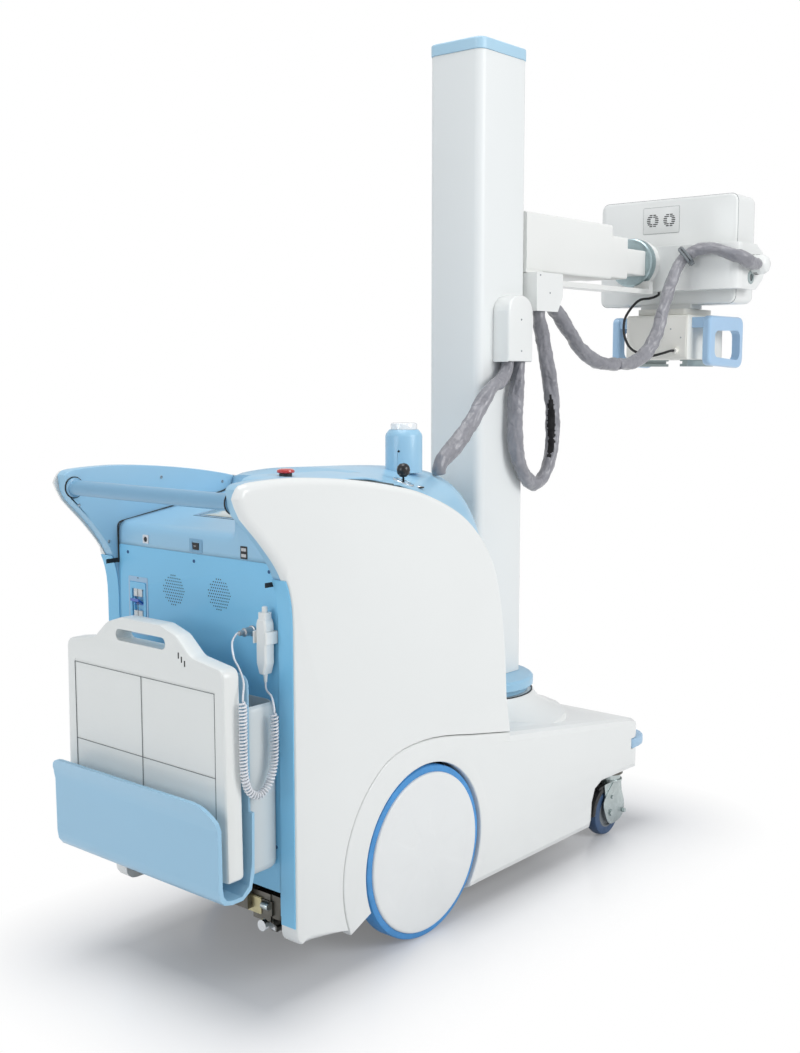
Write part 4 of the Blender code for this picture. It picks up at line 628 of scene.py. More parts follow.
def make_stage():
    bpy.ops.mesh.primitive_plane_add(size=60, location=(0, 0, -0.0005))
    floor = bpy.context.object
    floor.name = "floor"
    m = Maker("floor_paint")
    split = m.node("SeparateXYZ", {0: m.coords})
    sides = []
    for axis, middle, half in (("X", FOOTPRINT[0], FOOTPRINT[2]), ("Y", FOOTPRINT[1], FOOTPRINT[3])):
        off = m.maths("ABSOLUTE", m.maths("SUBTRACT", split.outputs[axis], middle))
        out = m.maths("MAXIMUM", m.maths("SUBTRACT", off, half), 0.0)
        sides.append(m.maths("MULTIPLY", out, out))
    away = m.maths("SQRT", m.maths("ADD", *sides))
    painted_shadow_fade = m.scaled(away, 0.0, 1.0, 0.0, 0.3)
    # Painted shadow: the floor's colour darkens towards the cart's footprint.
    tint = m.ramp(painted_shadow_fade, [(0.0, (0.6, 0.615, 0.64)), (0.45, (0.8, 0.81, 0.83)), (1.0, (0.9, 0.905, 0.91))])
    m.set(Base_Color=tint, Roughness=m.scaled(m.noise(6), 0.2, 0.26), Specular_IOR_Level=0.35)
    glow = m.node("Emission", {"Color": (1, 1, 1, 1)})
    rays = m.node("LightPath").outputs
    seen = m.maths("MAXIMUM", rays["Is Camera Ray"], rays["Is Glossy Ray"])
    # Glow towards white for the backdrop, weaker near the cart so the painted shadow shows.
    share = m.maths("MULTIPLY", m.scaled(away, 0.16, 1.0, 0.0, 0.36), seen)
    blend = m.node("MixShader", {"Fac": share, 1: m.shader.outputs["BSDF"], 2: glow.outputs["Emission"]})
    m.feed(m.tree.nodes["Material Output"].inputs["Surface"], blend.outputs["Shader"])
    floor.data.materials.append(m.mat)
    world = bpy.data.worlds.new("studio")
    bpy.context.scene.world = world
    w = Nodes(world)
    back = w.tree.nodes["Background"]
    w.feed(back.inputs["Color"], (0.93, 0.95, 1.0, 1))
    w.feed(back.inputs["Strength"], 0.42)
    white = w.node("Background", {"Color": (1, 1, 1, 1), "Strength": 1.0})
    rays = w.node("LightPath").outputs
    top = w.maths("MAXIMUM", rays["Is Camera Ray"], rays["Is Transmission Ray"])
    share = w.maths("MULTIPLY_ADD", rays["Is Glossy Ray"], 0.6, top)
    mix = w.node("MixShader", {"Fac": share, 1: back.outputs[0], 2: white.outputs[0]})
    w.feed(w.tree.nodes["World Output"].inputs["Surface"], mix.outputs[0])


def lamp(name, place, aim, size, power, tint=(1, 1, 1)):
    data = bpy.data.lights.new(name, "AREA")
    data.shape, data.size, data.energy, data.color = "DISK", size, power, tint
    item = placed(name, data)
    item.location = place
    item.rotation_euler = (Vector(aim) - Vector(place)).to_track_quat("-Z", "Y").to_euler()


make_stage()
lamp("key_lamp", (0.4, -4.3, 2.8), (0.0, 0.0, 0.8), 2.6, 108)
lamp("top_lamp", (-0.6, 0.2, 4.6), (0.0, 0.0, 0.6), 2.6, 64)
lamp("left_lamp", (-4.6, 0.6, 2.0), (-0.4, 0.0, 0.7), 2.4, 46, (0.95, 0.98, 1.0))


# Cart body

HALF_WIDTH, LINER_FACE, LINER_SPLIT, REAR_X = 0.285, 0.243, 0.268, 0.14
SEAM, TOUCH, EDGE_R = 0.002, 0.0003, 0.016
WHEEL, FENDER_R = (0.539, 0.19), 0.265
PANEL_TOP = [(0.0, 1.0), (0.01, 1.018), (0.034, 1.027), (0.13, 1.03), (0.222, 1.025), (0.32, 1.015),
    (0.424, 0.999), (0.535, 0.974), (0.653, 0.926), (0.729, 0.87), (0.782, 0.802), (0.81, 0.727),
    (0.832, 0.603), (0.841, 0.48)]
PANEL_REAR = [(0.139, 0.7), (0.136, 0.79), (0.114, 0.853), (0.06, 0.92), (0.018, 0.963), (0.0, 1.0)]
EDGE_FRONT = [(0.5, 0.993), (0.6, 0.96), (0.69, 0.912), (0.755, 0.852), (0.798, 0.778), (0.824, 0.69),
    (0.842, 0.56), (0.851, 0.396)]
CREST_FRONT = [(0.515, 1.014), (0.64, 1.012), (0.745, 1.006), (0.845, 0.987), (0.906, 0.934),
    (0.928, 0.845), (0.93, 0.68), (0.918, 0.392)]
CONSOLE = [(REAR_X, 0.8625), (REAR_X, 0.897), (0.15, 0.911), (0.29, 0.931), (0.43, 0.952), (0.462, 0.96),
    (0.474, 1.0)]
SHOULDER = [(REAR_X, 0.8625), (REAR_X, 0.96), (0.15, 1.008), (0.185, 1.026), (0.3, 1.024), (0.4, 1.022),
    (0.474, 1.02)]
SHOULDER_Y = -0.125
WING_END = 0.476
STOP, BEACON, BAR = (0.235, -0.17, 1.033), (0.68, -0.1, 1.0125), (0.03, 0, 0.99)
FOOT_LINE = [(0.848, 0.392), (0.69, 0.4195), (0.645, 0.4285), (0.6, 0.436), (0.56, 0.4405), (0.525, 0.4418),
    (0.49, 0.4408), (0.46, 0.4376), (0.432, 0.431)]


def panel_loop(per, turns):
    """The side panel's outline; its tight rear corner keeps a few points only."""
    arch = arc(WHEEL, FENDER_R + SEAM, 120, 200, turns)
    foot = [(0.183, 0.111)] + arc((0.165, 0.137), 0.026, 270, 180, 4)
    loop = smooth(PANEL_TOP, 2)[:4] + smooth(PANEL_TOP, per)[2 * per:]
    loop += FOOT_LINE + arch + [(0.291, 0.097)] + foot
    return loop + smooth(PANEL_REAR, per)[:3 * per] + smooth(PANEL_REAR, 2)[6:-1]


def side_panel(side, tag):
    """The white panel: its top and rear edges are round, its foot and arch edges are sharp."""
    loop = panel_loop(6, 26)
    shares = [0.1 if z < 0.47 and x > 0.2 else 0.3 if x < 0.16 and z < 0.85 else 1.0 for x, z in loop]
    edge = [(EDGE_R * (1 - cos(pi / 2 * k / 6)), EDGE_R * (1 - sin(pi / 2 * k / 6)) - HALF_WIDTH)
        for k in range(7)]
    rings = []
    for d, w in [(0.0, -LINER_FACE - TOUCH)] + edge:
        insets = {share: inset(loop, d * share) for share in set(shares)}
        rings.append([PLANES["y"](*insets[share][i], w) for i, share in enumerate(shares)])
    wing = [(-0.05, 1.1), (WING_END, 1.1), (WING_END, 0.95), (0.285, 0.925), (REAR_X + 0.006, 0.89),
        (REAR_X + 0.006, 0.64), (-0.05, 0.64)]
    inner = -LINER_FACE + 0.01
    shell = cut(loft(rings), prism(inset(panel_loop(2, 6), 0.014), "y", inner, -HALF_WIDTH + 0.005),
        prism(wing, "y", inner, -LINER_SPLIT))
    piece("side_panel_skin_" + tag, sided(shell, side), WHITE, node="side_panel_" + tag, bevel=0.0015,
        angle=28, segments=2)
    rear = [(0.139, 0.15), (0.139, 0.65)] + [(x, z) for x, z in smooth(PANEL_REAR, 4) if z < 0.85]
    strip = prism([(x - 0.0012, z) for x, z in rear] + [(x + 0.0008, z) for x, z in reversed(rear)], "y",
        side * 0.2434, side * 0.2812)
    low, high = sorted((side * 0.2398, side * 0.2436))
    piece("rear_strip_" + tag, joined(strip, box((0.14, low, 0.165), (0.1425, high, 0.822))), PANEL_BLUE)


def line_up(rows, count):
    """Each row of points resampled by length to the same number of points."""
    out = []
    for row in rows:
        run = [0.0]
        for a, b in zip(row, row[1:]):
            run.append(run[-1] + sqrt((a[0] - b[0])**2 + (a[1] - b[1])**2))
        line, i = [], 0
        for k in range(count):
            want = run[-1] * k / (count - 1)
            while i < len(row) - 2 and run[i + 1] < want:
                i += 1
            t = (want - run[i]) / max(run[i + 1] - run[i], 1e-9)
            line.append(tuple(Vector(row[i]).lerp(Vector(row[i + 1]), min(max(t, 0), 1))))
        out.append(line)
    return out


def cover_front(away):
    crown = 1 - away**2.5
    points = [tuple(Vector(e).lerp(Vector(c), crown)) for e, c in zip(EDGE_FRONT, CREST_FRONT)]
    return smooth(points, 6)


def cover_rear(away, right):
    rear = SHOULDER if right else CONSOLE
    drop = 0.01 * away**3 if right else 0.0
    rear = [(x, z - (drop if z > 0.97 else 0)) for x, z in rear]
    top = cover_front(away)[0]
    rear[-1] = (rear[-1][0], min(rear[-1][1], top[1] + 0.002))
    if right:
        return smooth(rear, 5)
    flat = []
    for a, b, c in zip(rear, rear[1:], rear[2:]):
        a, b, c = Vector(a), Vector(b), Vector(c)
        r = min(0.01, (a - b).length * 0.45, (c - b).length * 0.45)
        p, q = b + (a - b).normalized() * r, b + (c - b).normalized() * r
        flat += [tuple(p * (1 - t)**2 + b * 2 * t * (1 - t) + q * t * t) for t in (0, 0.25, 0.5, 0.75, 1)]
    return [rear[0]] + flat + [rear[-1]]


def body_skin():
    half = LINER_FACE - SEAM
    left = [SHOULDER_Y + 0.012 + (half - SHOULDER_Y - 0.012) * k / 30 for k in range(31)]
    places = [-half + (half + SHOULDER_Y) * k / 12 for k in range(13)] + left
    rear = line_up([cover_rear(abs(y) / half, y < SHOULDER_Y + 0.001) for y in places], 44)
    front = line_up([cover_front(abs(y) / half) for y in places], 46)
    bm = outward(grid([[(x, y, z) for x, z in a[:-1] + b] for y, a, b in zip(places, rear, front)],
        False)[0])
    if sum(f.normal.z for f in bm.faces) < 0:
        bmesh.ops.reverse_faces(bm, faces=bm.faces)
    item = piece("body_skin", bm, BLUE, node="body_shell", angle=40)
    item.modifiers.new("wall", "SOLIDIFY").thickness = 0.004
    item.modifiers["wall"].offset = -1


def height_on(y, x):
    """Height of the cover's outer face above a place."""
    away = min(abs(y) / (LINER_FACE - SEAM), 1.0)
    line = cover_rear(away, y < SHOULDER_Y + 0.001)[:-1] + cover_front(away)
    for a, b in zip(line, line[1:]):
        if a[0] <= x <= b[0] and b[0] > a[0]:
            return a[1] + (b[1] - a[1]) * (x - a[0]) / (b[0] - a[0])
    return line[0][1]


def patch(name, x_run, y_run, look, lift):
    """A thin sheet that follows the cover between two x and two y values."""
    rows = []
    for j in range(9):
        y = y_run[0] + (y_run[1] - y_run[0]) * j / 8
        row = [x_run[0] + (x_run[1] - x_run[0]) * i / 12 for i in range(13)]
        rows.append([(x, y, height_on(y, x) + lift) for x in row])
    item = piece(name, grid(rows, False)[0], look)
    item.modifiers.new("wall", "SOLIDIFY").thickness = 0.0012


def sheet(low, high, radius, x, thick, edge=0.0003):
    """A thin plate with round corners on a face that looks to the rear."""
    return slab(round_rect(low, high, radius), "x", x, x - thick, edge, 2)


def screw(place, axis, radius, proud=0.0009):
    """A countersunk cross-head screw that sits in a face."""
    head = turned([(0, 0.0), (radius, 0.0), (radius, proud * 0.4), (radius * 0.85, proud), (0, proud)], "z",
        (0, 0, 0), 20)
    for u, v in ((0.62, 0.13), (0.13, 0.62)):
        head = cut(head, box((-radius * u, -radius * v, proud * 0.35), (radius * u, radius * v, proud * 2)))
    turn = Vector((0, 0, 1)).rotation_difference(Vector(axis)).to_matrix().to_4x4()
    bmesh.ops.transform(head, matrix=Matrix.Translation(Vector(place)) @ turn @ Matrix.Rotation(0.5, 4,
        "Z"), verts=head.verts)
    return head


def screws(name, places, axis, radius, body="chassis", look=STEEL):
    piece(name, joined(*[screw(p, axis, radius) for p in places]), look, body, angle=30)


def console_details():
    """Screen in the console, the seams by the wings, a dark sheet painted as the shade of the top cover's
    step, the lever's base, the key switch and the stop button, whose collar is painted black as shade under
    the cap.
    """
    for name, x_run, y_run, look, lift in (("border", (0.238, 0.437), (-0.1, 0.113), SCREEN_DARK, 0.0006),
            ("frame", (0.2392, 0.436), (-0.099, 0.1115), PALE_BLUE, 0.001),
            ("inner_border", (0.244, 0.431), (-0.094, 0.101), SCREEN_DARK, 0.0014),
            ("glass", (0.246, 0.429), (-0.092, 0.0975), SCREEN, 0.0018)):
        patch("console_screen_" + name, x_run, y_run, look, lift)
    line = [(REAR_X - 0.001, 0.822), (REAR_X - 0.001, 0.893)] + arc((0.1505, 0.8985), 0.0115, 180, 100, 4)
    line += [(0.29, 0.9316), (0.43, 0.9526), (0.456, 0.96), (0.47, 0.969)]
    for side, tag in SIDES:
        gap = curve_piece("wing_seam_" + tag, [P(x, side * (LINER_FACE - 0.001), z) for x, z in line],
            0.0017, BLACK, 2)
        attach(gap, "chassis")
    # A dark sheet painted as the shade on the cover's step beside the lever, along the panel's top edge.
    edge = [(x, z) for x, z in smooth(PANEL_TOP, 4) if 0.293 <= x <= 0.482]
    top = [(x, min(height_on(-0.2405, x), z + 0.007 * (x - 0.29) / 0.19) - 0.0004)
        for x, z in reversed(edge)]
    shade = prism([(x, z - 0.006) for x, z in edge] + top, "y", -LINER_FACE + 0.0004, -LINER_FACE + 0.0016)
    piece("top_cover_step_shade", shade, SCREEN_DARK)
    ring = turned([(0.0175, -0.0005), (0.024, -0.0005), (0.024, 0.0016), (0.0225, 0.0026),
        (0.0175, 0.0026)], "z", (0, 0, 0), 48)
    tilt = Matrix.Translation((0.56, -0.2, height_on(-0.2, 0.56))) @ Matrix.Rotation(0.32, 4, "X")
    bmesh.ops.transform(ring, matrix=tilt @ Matrix.Rotation(0.16, 4, "Y"), verts=ring.verts)
    piece("lever_base", ring, CHROME, bevel=0.0004)
    x, y = 0.599, -0.212
    z = height_on(y, x)
    key = turned([(0, 0), (0.0065, 0), (0.0065, 0.0022), (0.005, 0.0034), (0, 0.0034)], "z",
        (x, y, z - 0.0005), 24)
    key = cut(key, box((x - 0.0011, y - 0.0045, z + 0.001), (x + 0.0011, y + 0.0045, 1.06)))
    piece("key_switch", key, CHROME, bevel=0.0003)
    ring = turned([(0.0066, -0.001), (0.011, -0.001), (0.011, 0.0012), (0.0066, 0.0016)], "z", (x, y, z),
        32)
    piece("key_ring", ring, BLACK, bevel=0.0002)
    # The collar is black as painted shade under the red cap.
    collar = [(0.004, -0.012), (0.013, -0.012), (0.013, -0.005), (0.0125, -0.0044), (0.004, -0.0044)]
    piece("stop_collar_painted_shade", turned(collar, "z", STOP, 48), BLACK, bevel=0.0004)
    cap = [(0, -0.0046), (0.008, -0.0046), (0.008, -0.0042), (0.015, -0.0042), (0.0176, -0.0034),
        (0.0181, -0.001), (0.017, 0.0018), (0.014, 0.0036), (0.008, 0.0046), (0, 0.0048)]
    piece("stop_cap", turned(cap, "z", STOP, 56), RED, node="estop_button", bevel=0.0004)


def beacon():
    post = turned([(0, -0.012), (0.042, -0.012), (0.042, 0.07), (0.0405, 0.075), (0.034, 0.0835),
        (0.032, 0.085), (0, 0.085)], "z", BEACON, 72)
    hole = (0, -0.117, 1.05)
    piece("beacon_body", cut(post, rod("x", hole, 0.0026, 0.63, 0.646, 20)), BLUE, node="beacon_post",
        bevel=0.0006)
    # A black disc at the bottom of the hole, painted as the shade inside it.
    piece("beacon_hole", rod("x", hole, 0.0026, 0.6416, 0.643, 20), BLACK)
    lens = turned([(0, 0.0852), (0.03, 0.0852), (0.03, 0.096), (0.029, 0.0985), (0.026, 0.1),
        (0.012, 0.1005), (0, 0.1005)], "z", BEACON, 64)
    piece("beacon_lens", lens, LENS, bevel=0.0005)


def handle_bar():
    end = LINER_FACE - TOUCH
    half = [(0.016, end - 0.008), (0.019, end - 0.007), (0.0205, end - 0.004), (0.0205, end), (0, end)]
    profile = mirrored(half)
    piece("push_bar", turned(profile, "y", BAR, 48), BAR_BLUE, node="handle_bar", bevel=0.0006)
    rings = [turned([(0.0209, s * (end - 0.0022)), (0.0226, s * (end - 0.0022)), (0.0226, s * end),
        (0.0209, s * end)], "y", BAR, 48) for s in (-1, 1)]
    piece("push_bar_gaskets", joined(*rings), BLACK)


def wings():
    """The blue liners inside the wings, from the push bar to the raised cover, with screws and latches."""
    top = [(x, z) for x, z in smooth(PANEL_TOP, 4) if 0.016 < x < WING_END - 0.006]
    end = [(WING_END - 0.0012, top[-1][1] - 0.006), (WING_END - 0.0006, 0.95)]
    back = [(x + 0.007 * min(max((z - 0.8) / 0.1, 0), 1), z) for x, z in smooth(PANEL_REAR, 4) if z < 0.975]
    foot = [(0.29, 0.92), (REAR_X + 0.004, 0.888), (REAR_X + 0.004, 0.645)]
    tip = [(x + 0.006, z) for x, z in smooth(PANEL_REAR, 2)[-3:-1]]
    loop = top + end + foot + back + tip + [(0.0085, 1.016)]
    spots = [(0.0391, 1.008), (0.26, 0.997), (0.438, 0.976), (0.017, 0.9865), (0.042, 0.952),
        (0.1151, 0.869)]
    for side, tag in SIDES:
        liner = sided(slab(loop, "y", -LINER_SPLIT + 0.0003, -LINER_FACE, 0.0022, 3), side)
        piece("wing_skin_" + tag, liner, BLUE, node="wing_liner_" + tag, angle=30)
        y = side * (LINER_FACE - 0.0003)
        screws("wing_screws_" + tag, [(x, y, z) for x, z in spots], (0, -side, 0), 0.0036)
        low, high = sorted((y, y - side * 0.0012))
        piece("wing_latch_" + tag, box((0.106, low, 0.8225), (0.1375, high, 0.832)), BLACK, bevel=0.0004)


def rear_panel():
    """The flat rear panel with its screws, speaker holes, breaker, socket, rocker and port."""
    refined("rear_panel", PANEL_BLUE, 0.001)
    x, z, step = REAR_X - 0.0002, 0.879, 0.0061
    spots = ((0.2115, 0.847), (-0.001, 0.847), (-0.2182, 0.847), (-0.23, 0.573), (-0.23, 0.3035),
        (0.23, 0.573), (0.23, 0.3035))
    screws("rear_screws", [(x, v, w) for v, w in spots], (-1, 0, 0), 0.0036, look=DARK_BLUE)
    for name, cy, cz in (("left", 0.062, 0.781), ("right", -0.077, 0.787)):
        # Black dots painted as the shade inside the speaker holes.
        dots = [rod("x", (0, cy + i * step + (j % 2) * 0.003, cz + j * step), 0.0013, x, x - 0.00035, 10)
            for i in range(-5, 6) for j in range(-5, 6) if i * i + j * j <= 28]
        piece("speaker_holes_" + name, joined(*dots), BLACK)
    plate = sheet((0.147, 0.673), (0.211, 0.797), 0.004, x, 0.0008)
    piece("breaker_plate", cut(plate, box((x - 0.01, 0.152, 0.688), (x + 0.01, 0.206, 0.786))), PALE_BLUE,
        bevel=0.0003)
    refined("breaker_toggle", TOGGLE_BLUE, 0.0007)
    halves = ((0.703, 0.7245), (0.7545, 0.7715))
    face = [box((x - 0.0021, 0.165, low), (x + 0.004, 0.193, high)) for low, high in halves]
    piece("breaker_body", joined(*face), moulded("breaker_white", srgb(216, 220, 220), 0.4, 0.2),
        bevel=0.0008)
    piece("breaker_split", box((x - 0.0026, 0.1782, 0.7035), (x - 0.0018, 0.1798, 0.771)), LINE)
    marks = [box((x - 0.0012, 0.1765, h), (x - 0.0007, 0.1815, h + 0.0016)) for h in (0.7935, 0.6765)]
    piece("breaker_marks", joined(*marks), SCREEN_DARK)
    socket = sheet((0.141, z - 0.0085), (0.159, z + 0.0095), 0.0015, x, 0.002, 0.0006)
    hole = (0, 0.15, z)
    piece("socket_frame", cut(socket, rod("x", hole, 0.0058, REAR_X - 0.01, REAR_X + 0.01, 24)), CORD_WHITE,
        bevel=0.0003)
    piece("socket_core", rod("x", hole, 0.0056, x - 0.0006, x, 24), BLACK)
    rim = cut(sheet((-0.0275, z - 0.014), (0.0115, z + 0.014), 0.002, x, 0.001, 0.0004),
        box((REAR_X - 0.01, -0.0186, z - 0.009), (REAR_X + 0.01, 0.0026, z + 0.009)))
    piece("rocker_frame", rim, BAR_BLUE, bevel=0.0002)
    refined("power_rocker", BLACK, 0.0006)
    piece("rocker_mark", box((0.1362, -0.011, z - 0.0004), (0.1372, -0.005, z + 0.0004)), LENS,
        "power_rocker")
    piece("port_plate", sheet((-0.159, z - 0.0135), (-0.14, z + 0.0115), 0.001, x, 0.0012), BLACK)
    ports = [box((x - 0.0016, -0.1565, h - 0.0032), (x - 0.001, -0.1425, h + 0.0032))
        for h in (z - 0.0068, z + 0.0048)]
    piece("port_tongues", joined(*ports), STEEL, bevel=0.0002)


for side, tag in SIDES:
    side_panel(side, tag)
body_skin()
console_details()
beacon()
handle_bar()
wings()
rear_panel()
refined("drive_lever", BLACK_GLOSS, 0.0, 60)


# Base, wheels and casters

FENDER_TOP = 0.2651
AXLE = (1.335, 0.0625)
FORK_SIDE = [(1.348, 0.1425), (1.366, 0.1432), (1.385, 0.1425), (1.391, 0.112), (1.403, 0.082),
    (1.404, 0.058), (1.392, 0.038), (1.362, 0.03), (1.33, 0.034), (1.312, 0.06), (1.301, 0.095),
    (1.322, 0.122)]


def hub_face(centre, radius, rings, sides):
    """The flat middle of the hub with five faint, softly edged spokes."""
    rows = []
    for j in range(rings + 1):
        r = radius * j / rings
        row = []
        for k in range(sides if j else 1):
            a = 2 * pi * k / sides
            spoke = 0.5 + 0.5 * cos(5 * a + 0.6)
            soft = min(max((spoke - 0.35) / 0.3, 0), 1) * min(max((r - 0.04) / 0.008, 0), 1)
            soft *= min(max((0.146 - r) / 0.008, 0), 1)
            rise = -0.2868 + 0.0009 * soft * soft * (3 - 2 * soft)
            row.append((centre[0] + r * cos(a), rise, centre[2] + r * sin(a)))
        rows.append(row)
    rows.append([(p[0], -0.284, p[2]) for p in rows[-1]])
    bm, made = grid(rows)
    bm.faces.new(made[-1])
    return outward(bm)


def wheels():
    centre = (WHEEL[0], 0, WHEEL[1])
    for side, tag in SIDES:
        tyre = turned([(0.1758, 0.238), (0.185, 0.238), (0.1885, 0.2395), (0.19, 0.243), (0.19, 0.276),
            (0.1885, 0.2795), (0.185, 0.281), (0.1758, 0.281)], "y", centre, 160)
        disc = turned([(0, 0.238), (0.04, 0.238), (0.046, 0.262), (0.158, 0.266), (0.166, 0.24),
            (0.1755, 0.24), (0.1755, 0.2815), (0.1748, 0.284), (0.1728, 0.2858), (0.17, 0.2867),
            (0.168, 0.2868), (0.168, 0.2842), (0.0, 0.2842)], "y", centre, 160)
        disc = cut(disc, rod("y", centre, 0.0128, 0.2, 0.2645, 24))
        outer = arc(WHEEL, FENDER_TOP, 203.5, 120, 40) + [(x, z - 0.0014) for x, z in reversed(FOOT_LINE)]
        outer += [(0.8465, 0.37), (0.775, 0.372)] + arc(WHEEL, 0.23, 48, -31.5, 40)
        fender = slab(outer + arc(WHEEL, 0.1968, -38.5, 203.5, 130), "y", -0.262, -0.28515, 0.0035, 4)
        piece("tyre_tread_" + tag, sided(tyre, -side), TYRE_BLUE, node="tyre_" + tag)
        piece("wheel_cap_" + tag, sided(disc, -side), HUB_WHITE, node="hub_" + tag, bevel=0.0008, angle=24,
            segments=2)
        piece("wheel_face_" + tag, sided(hub_face(centre, 0.1681, 40, 160), side), HUB_WHITE,
            BODY_OF["hub_" + tag], angle=40)
        piece("fender_skin_" + tag, sided(fender, side), WHITE, angle=40)


def casters():
    for side, tag in SIDES:
        y0 = side * 0.2425
        fork = "caster_fork_" + tag
        refined(fork, ZINC, 0.001)
        refined("caster_brake_" + tag, BLACK)
        nuts, plates = [], []
        for s in (-1, 1):
            for u, v, r, rise in ((*AXLE, 0.0085, 0.0305), (1.397, 0.054, 0.006, 0.033),
                    (1.341, 0.104, 0.0055, 0.029)):
                hexagon = [(u + r * cos(pi / 3 * k), v + r * sin(pi / 3 * k)) for k in range(6)]
                nuts.append(prism(hexagon, "y", y0 + s * 0.0251, y0 + s * rise))
            outline = smooth(FORK_SIDE + FORK_SIDE[:1], 3)[:-1]
            plates.append(slab(outline, "y", y0 + s * 0.0227, y0 + s * 0.025, 0.0006, 2))
        piece("caster_plates_" + tag, joined(*plates), ZINC, fork, angle=40)
        shoe = slab(arc(AXLE, 0.0665, 112, 176, 14) + arc(AXLE, 0.08, 176, 112, 14), "y", y0 - 0.02,
            y0 + 0.02, 0.003, 3, both=True)
        piece("caster_guard_" + tag, shoe, BLACK, fork, angle=40)
        piece("caster_nuts_" + tag, joined(*nuts), ZINC, fork, bevel=0.0006)
        race = turned([(0.0285, 0.14), (0.032, 0.14), (0.0325, 0.1425), (0.032, 0.146), (0.0285, 0.146)],
            "z", (1.37, y0, 0), 48)
        piece("caster_race_" + tag, race, ZINC, fork, bevel=0.0006)
        half = 0.0155
        centre = (AXLE[0], y0, AXLE[1])
        tyre = mirrored([(0.0625, 0.003), (0.0615, 0.0085), (0.059, half - 0.0015), (0.0555, half),
            (0.04, half)])
        piece("caster_tyre_" + tag, turned(tyre, "y", centre, 96), CASTER_TREAD, node="caster_wheel_" + tag)
        core = mirrored([(0.04, half + 0.0004), (0.0375, half + 0.0006), (0.033, half - 0.0035),
            (0.0175, half - 0.002), (0.015, half + 0.0022), (0.0053, half + 0.0022)])
        piece("caster_core_" + tag, turned(core, "y", centre, 72), GREY_PLASTIC, "caster_wheel_" + tag,
            bevel=0.0004)


def base():
    refined("base_cover", WHITE, 0.0015, 25, 3)
    refined("front_bumper", PALE_BLUE, 0.001)
    for node in ("base_frame", "power_unit"):
        NODES[node].data.materials.clear()
        NODES[node].data.materials.append(FRAME_STEEL)
    refined("brake_pedal", CHROME, 0.001)
    stub = turned([(0, -0.172), (0.007, -0.172), (0.008, -0.174), (0.008, -0.19), (0.0068, -0.192),
        (0, -0.192)], "y", (0.1545, 0, 0.166), 32)
    piece("pedal_spring_cover", stub, ZINC, bevel=0.0006)
    hole = (0, -0.135, 0.161)
    plate = slab(round_rect((-0.168, 0.143), (-0.09, 0.1765), 0.003), "x", 0.1573, 0.1552, 0.0004, 2)
    plate = cut(plate, rod("x", hole, 0.0062, 0.15, 0.16, 32))
    shelf = box((0.156, -0.168, 0.1768), (0.19, -0.09, 0.1784))
    piece("bracket_plate", joined(plate, shelf), PASSIVATED, bevel=0.0006)
    # A black disc behind the plate's hole, painted as the shade inside it.
    piece("bracket_eye", rod("x", hole, 0.0061, 0.1574, 0.158, 24), BLACK)


wheels()
casters()
base()


# Column, arm, head and attachments

ARM_LOW, ROLL, HEAD_REAR = 1.482, 1.545, 1.95
COLLIMATOR_BACK, COLLIMATOR_FOOT = 1.905, 1.262


def column():
    refined("turntable", BLUE, 0.0012, 25, 3)
    seam = turned([(0.1475, 0.4086), (0.15, 0.4086), (0.15, 0.4112), (0.1475, 0.4112)], "z", (1.0865, 0, 0),
        96)
    piece("turntable_seam", seam, BLACK, "column")
    refined("column", COLUMN_WHITE, 0.001, 25)
    refined("column_cap", CAP_BLUE, 0.0015, 30, 3)
    for node in ("hood_lower", "hood_upper"):
        refined(node, WHITE)
    for node in ("arm_carriage", "arm_middle", "arm_tip"):
        refined(node, ARM_WHITE)
    for tag, y, spots in (("lower", -0.1309, ((1.0936, 1.3547), (1.0951, 1.2777))),
            ("upper", -0.1119, ((1.2021, 1.4697), (1.2461, 1.4268)))):
        screws("hood_screws_" + tag, [(x, y, z) for x, z in spots], (0, -1, 0), 0.0026,
            BODY_OF["hood_" + tag])
    disc = turned([(0, 1.835), (0.066, 1.835), (0.07, 1.838), (0.07, 1.862), (0, 1.862)], "x", (0, 0, ROLL),
        96)
    piece("trunnion_disc", disc, DISC_ALLOY, node="trunnion", bevel=0.0006)
    tray = cut(box((1.316, -0.062, ARM_LOW - 0.03), (1.86, -0.012, ARM_LOW - 0.016)),
        box((1.3, -0.059, ARM_LOW - 0.027), (1.815, -0.015, ARM_LOW + 0.01)))
    hanger = box((1.838, -0.062, ARM_LOW - 0.02), (1.86, -0.012, 1.49))
    piece("cable_tray", combine(tray, hanger, "UNION"), ARM_WHITE, BODY_OF["trunnion"], bevel=0.0008)


def vents():
    """The thin plate on the rear of the housing with two round sets of slots, drawn as black boxes painted as
    the shade inside them.
    """
    x = HEAD_REAR - 0.0002
    low, high = (-0.0948, 1.6372), (0.0244, 1.7132)
    rim = sheet([v - 0.0009 for v in low], [v + 0.0009 for v in high], 0.003, x, 0.0003, 0.0001)
    piece("vent_gap", rim, LINE, "head")
    piece("vent_plate", sheet(low, high, 0.0025, x, 0.001), WHITE, "head")
    slots = []
    for y, z in ((-0.0072, 1.6755), (-0.0624, 1.6744)):
        for row in range(-3, 4):
            h = row * 0.0054
            start, reach = 0.0075 if abs(row) < 2 else 0.0015, sqrt(0.0195**2 - h**2)
            for s in (-1, 1):
                a, b = sorted((y + s * start, y + s * reach))
                slots.append(box((x - 0.0014, a, z + h - 0.0014), (x - 0.0009, b, z + h + 0.0014)))
    # Black boxes painted as the shade inside the slots.
    piece("vent_slots", joined(*slots), BLACK, "head")


